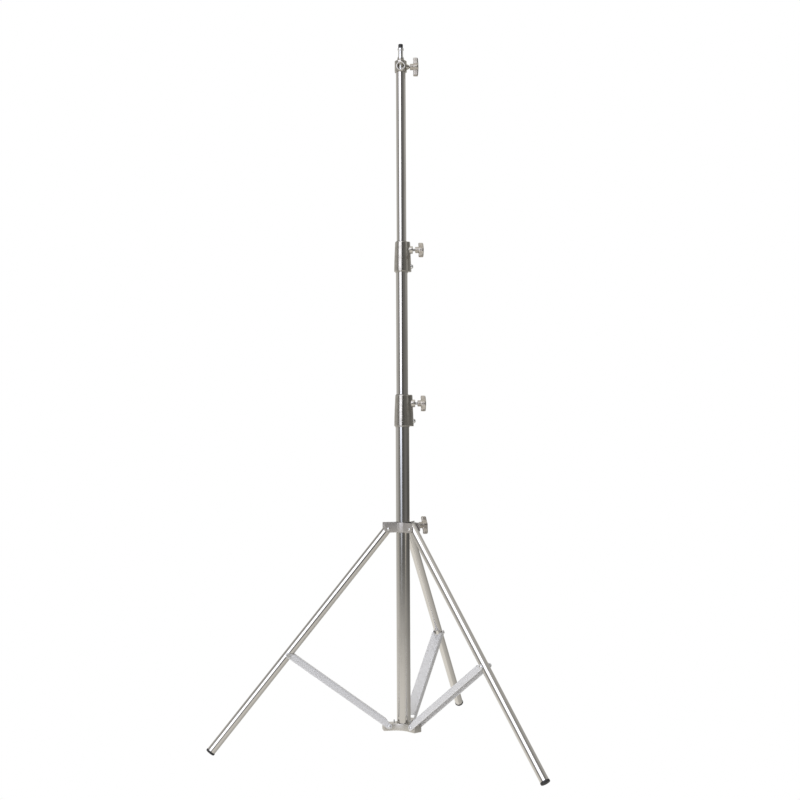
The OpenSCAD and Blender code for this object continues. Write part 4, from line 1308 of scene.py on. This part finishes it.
@dataclass(frozen=True)
class Yoke:
    """Sliding yoke: three equal pressed plates on a nylon sleeve, with six rivets and a knob boss."""

    lines: tuple[LegLine, ...]
    inner: float = 19.98
    wall: float = 2.5
    below: float = 9.0
    height: float = 25.0
    ear_gap: float = 12.0
    ear_end: float = 50.5
    ear_cut: float = 5.0
    bend: float = 2.4
    edge: float = 0.7
    boss_radius: float = 8.0
    boss_end: float = 35.0

    def plan(self) -> np.ndarray:
        """The plate's middle line seen from above, from one leg's ear to the next.

        It is an ear, an arc about the column and an ear, sampled evenly and then averaged over the
        length of a bend, which rounds the two folds.
        """
        mid = self.inner + self.wall / 2
        ear = self.ear_gap + self.wall / 2
        root = math.sqrt(mid ** 2 - ear ** 2)
        fold = math.asin(ear / mid)
        arc = np.linspace(fold, math.radians(120) - fold, 60)
        first = np.array([[self.ear_end + 8, ear], [root, ear]])
        c, s = math.cos(math.radians(120)), math.sin(math.radians(120))
        last = np.array([[root, -ear], [self.ear_end + 8, -ear]]) @ np.array([[c, s], [-s, c]])
        line = np.concatenate([first, mid * np.stack([np.cos(arc), np.sin(arc)], 1)[1:-1], last])
        run = np.concatenate([[0], np.cumsum(np.linalg.norm(np.diff(line, axis=0), axis=1))])
        step = 0.25
        even = np.arange(0, run[-1], step)
        path = np.stack([np.interp(even, run, line[:, 0]), np.interp(even, run, line[:, 1])], 1)
        width = int(self.bend / step) * 2 + 1
        kernel = np.hanning(width + 2)[1:-1]
        kernel /= kernel.sum()
        soft = np.stack([np.convolve(path[:, i], kernel, "same") for i in (0, 1)], 1)
        trim = int(8 / step)
        return soft[trim:-trim]

    def plate(self, place: Place) -> Shape:
        """One plate: a rounded rectangle carried along the middle line, cut off below at the ears' ends."""
        path = self.plan()
        ahead = np.gradient(path, axis=0)
        ahead /= np.linalg.norm(ahead, axis=1, keepdims=True)
        out = np.stack([-ahead[:, 1], ahead[:, 0]], 1)
        out *= np.sign((out[len(out) // 2] * path[len(path) // 2]).sum())
        run = np.concatenate([[0], np.cumsum(np.linalg.norm(np.diff(path, axis=0), axis=1))])
        to_end = np.minimum(run, run[-1] - run)
        cut = np.maximum(self.ear_cut - to_end, 0)
        shrink = self.edge * (1 - np.sqrt(np.clip(1 - (1 - np.clip(to_end / self.edge, 0, 1)) ** 2, 0, 1)))
        half, tall = self.wall / 2, self.height
        section = rounded([[-half, 0], [half, 0], [half, tall], [-half, tall]], self.edge, 5)
        across = section[None, :, 0] * (1 - shrink / half)[:, None]
        rise = section[None, :, 1] / tall
        bottom = (cut + shrink)[:, None]
        top = (tall - shrink)[:, None]
        z = bottom + (top - bottom) * rise - self.below
        xy = path[:, None, :] + out[:, None, :] * across[..., None]
        points = np.concatenate([xy, z[..., None]], 2)
        return Shape().closed_rows(place.put(points))

    def make(self) -> None:
        """Builds and dresses the plates, the rivets and the boss."""
        pivot_z = self.lines[0].leg().origin[2]
        names = ("yoke_plate_front", "yoke_plate_right", "yoke_plate_rear")
        sheet = YOKE_SHEET.material("yoke_satin")
        knob_axis = np.array(JOINTS["yoke_knob_turn"]["axis"])
        knob_z = JOINTS["yoke_knob_turn"]["pos_m"][2]
        for line, node in zip(self.lines, names):
            place = Place.along((0, 0, pivot_z), (0, 0, 1), line.outward())
            plate = self.plate(place).build(f"{node}_pressing", 50)
            if node == "yoke_plate_right":
                drill(plate, [(Place.along((0, 0, knob_z), knob_axis, (0, 0, 1)), 5.8, 5, 40)], 45)
            dress(plate, sheet, "yoke", Slot.YOKE, node)
        shape = Shape()
        for line in self.lines:
            pivot = line.yoke_pivot()
            for side in (-1, 1):
                away = Place.along(pivot.put(np.array([0, 0, side * (self.ear_gap + self.wall)])),
                                   side * pivot.axes[:, 2], pivot.axes[:, 0])
                dome(shape, away, 4.2, 2.0, 3.0, self.wall)
        dress(shape.build("yoke_rivet_heads"), BRIGHT_STEEL.material("yoke_rivet_steel", UPRIGHT), "yoke",
              Slot.FASTENER, "yoke_rivets")
        axis = Place.along((0, 0, knob_z), knob_axis, (0, 0, 1))
        boss = rounded([[SCREW_HOLE, self.inner + 1.2], [self.boss_radius, self.inner + 1.2],
                        [self.boss_radius, self.boss_end], [SCREW_HOLE, self.boss_end]], [0, 0, 0.9, 0.4], 6)
        dress(Shape().lathe(axis, boss, 96, ring=True).build("yoke_boss_turned"),
              BRIGHT_STEEL.material("yoke_boss_steel", axis), "yoke", Slot.SPIDER, "yoke_boss")


# --- studio --------------------------------------------------------------------------------------


@dataclass(frozen=True)
class Studio:
    """Pale floor, soft studio light and the camera."""

    floor_radius: float = 2.2
    camera_back: float = 3.213
    camera_height: float = 0.8071
    tilt_up: float = 1.219
    yaw: float = -0.127
    roll: float = -0.274
    lens: float = 56.68
    shift: tuple[float, float] = (0.0006, 0.0006)

    def floor(self) -> None:
        """A pale round floor, lit from within so that it stays even."""
        rings = np.array([0.0, 0.5, 1.0])[:, None]
        angle = turn_angles(96)[None, :]
        points = np.stack([rings * np.cos(angle), rings * np.sin(angle), 0 * rings * angle], -1)
        disc = Shape().grid(points * self.floor_radius, wrap_cols=True).build("floor", outwards=False)
        disc.location.z = -0.0005
        material = bpy.data.materials.new("floor_pale")
        material.use_nodes = True
        graph = Graph(material.node_tree)
        glow = graph.node("ShaderNodeEmission", {}, (1.0, 1.0, 1.0), 1.0)
        graph.node("ShaderNodeOutputMaterial", {}, glow.outputs[0])
        disc.data.materials.append(material)
        disc.visible_glossy = False
        disc.visible_diffuse = False

    def light(self) -> None:
        """The studio as seen in the metal.

        The azimuth is 0 towards the camera and grows to its right; the elevation is 0 at the
        horizon. A tall softbox stands left of the camera; the room is mid grey to the left, dark in
        front and to the right, and pale behind the stand. Below the horizon it turns into a pale
        sweep, dimmer to the right. The camera itself sees plain white.
        """
        world = bpy.data.worlds.new("studio")
        bpy.context.scene.world = world
        world.use_nodes = True
        graph = Graph(world.node_tree)
        direction = graph.node("ShaderNodeTexCoord").outputs["Generated"]
        x, y, z = (graph.axis(direction, name) for name in "XYZ")
        degrees = 180 / math.pi
        azimuth = x.angle_to(-y) * degrees
        rise = z.at_most(1.0).at_least(-1.0).arcsine() * degrees
        left = azimuth.step(-58, -98, 0.30, 0.62) + (azimuth.step(-52, -47) * rise.step(4, -3) * -0.17)
        left = left + rise.step(14, 34) * azimuth.step(-80, -98) * -0.24
        right = azimuth.step(18, 40, 0.115, 0.21) + azimuth.step(64, 86) * rise.step(-1, 11, 0.0, 0.30)
        right = right - azimuth.step(60, 85) * rise.step(2, -3) * 0.09
        room = azimuth.step(-50, -46) * (right - left) + left
        behind = abs(azimuth).step(138, 160)
        room = room + behind * (0.85 - room)
        overhead = rise.step(45, 75)
        room = room + overhead * (1.15 - room)
        half = (rise.at_least(-4.0).at_most(26.0) + 4.0) * 0.66 + 12.0
        inside = (abs(azimuth + 25.0) - half).step(1.5, -1.5) * rise.step(-7.0, -3.5) * rise.step(72, 52)
        box_light = rise.step(-4, 3, 1.0, 2.2)
        room = room + inside * (box_light - room)
        sweep = rise.step(-5.0, -12.5)
        pale = azimuth.step(-10, 110, 0.86, 0.45) + rise.step(-14, -40, 0.0, 0.15)
        room = room + sweep * (pale - room)
        warm = graph.blend(sweep, (1.0, 0.985, 0.955), (1.0, 0.975, 0.93))
        cool = graph.blend(rise.step(-1, 3), (0.86, 0.93, 1.12), (0.93, 0.95, 1.05))
        tint = graph.blend(inside * (1 - sweep), warm, cool)
        seen = graph.node("ShaderNodeBackground", {}, tint, room)
        plain = graph.node("ShaderNodeBackground", {}, (1.0, 1.0, 1.0), 1.0)
        path = graph.node("ShaderNodeLightPath")
        mixed = graph.node("ShaderNodeMixShader", {}, path.outputs["Is Camera Ray"], seen.outputs[0],
                           plain.outputs[0])
        graph.node("ShaderNodeOutputWorld", {}, mixed.outputs[0])

    def camera(self) -> None:
        """The camera, from where it stands and how it is turned."""
        yaw, pitch, roll = (math.radians(a) for a in (self.yaw, -self.tilt_up, self.roll))
        forward = Vector((math.sin(yaw) * math.cos(pitch), math.cos(yaw) * math.cos(pitch), -math.sin(pitch)))
        right = Vector((math.cos(yaw), -math.sin(yaw), 0))
        up = right.cross(forward)
        side = right * math.cos(roll) + up * math.sin(roll)
        top = up * math.cos(roll) - right * math.sin(roll)
        data = bpy.data.cameras.new("camera")
        data.lens = self.lens
        data.sensor_width = 36.0
        data.shift_x, data.shift_y = self.shift
        camera = bpy.data.objects.new("camera", data)
        bpy.context.scene.collection.objects.link(camera)
        turn = Matrix((side, top, -forward)).transposed().to_4x4()
        camera.matrix_world = Matrix.Translation((0, -self.camera_back, self.camera_height)) @ turn
        bpy.context.scene.camera = camera

    def make(self) -> None:
        """Sets up the floor, the light, the camera and a plain view transform."""
        self.camera()
        self.floor()
        self.light()
        bpy.context.scene.view_settings.view_transform = "Standard"


# --- the stand -----------------------------------------------------------------------------------


def main() -> None:
    """Builds the studio and the stand's sub-assemblies in order."""
    logging.basicConfig(level=logging.INFO, format="%(name)s: %(message)s")
    Studio().make()
    lines = tuple(LegLine(name) for name in ("left", "right", "back"))
    Mast().make()
    Collar("lower_collar", "column", height=80.5, barrel=(20.9, 17.9), rib_x=17.0, rib=(11.8, 8.8),
           seat_radius=17.53, seat_height=42.0, bore_radius=16.28, knob_rise=58.3, boss_end=32.8,
           screw_rise=13.4, screw_tip=16.4).make()
    Collar("upper_collar", "middle_riser", height=77.5, barrel=(19.3, 16.5), rib_x=14.5, rib=(10.3, 7.2),
           seat_radius=15.03, seat_height=38.0, bore_radius=13.88, knob_rise=56.2, boss_end=28.7,
           screw_rise=13.7, screw_tip=14.0).make()
    Head().make()
    ClampKnob("lower_knob", hub_start=38.7, screw_tip=18.15, boss_end=32.8, turn=-40).make()
    ClampKnob("upper_knob", hub_start=34.8, screw_tip=15.65, boss_end=28.7, turn=-40).make()
    ClampKnob("head_knob", hub_start=23.6, screw_tip=8.2, boss_end=21.8, turn=-5).make()
    ClampKnob("yoke_knob", hub_start=41.5, screw_tip=20.65, boss_end=35.0, turn=-33).make()
    Yoke(lines).make()
    Spider(lines).make()
    for line in lines:
        Strut(line).make()
        Leg(line).make()


if __name__ == "__main__":
    main()
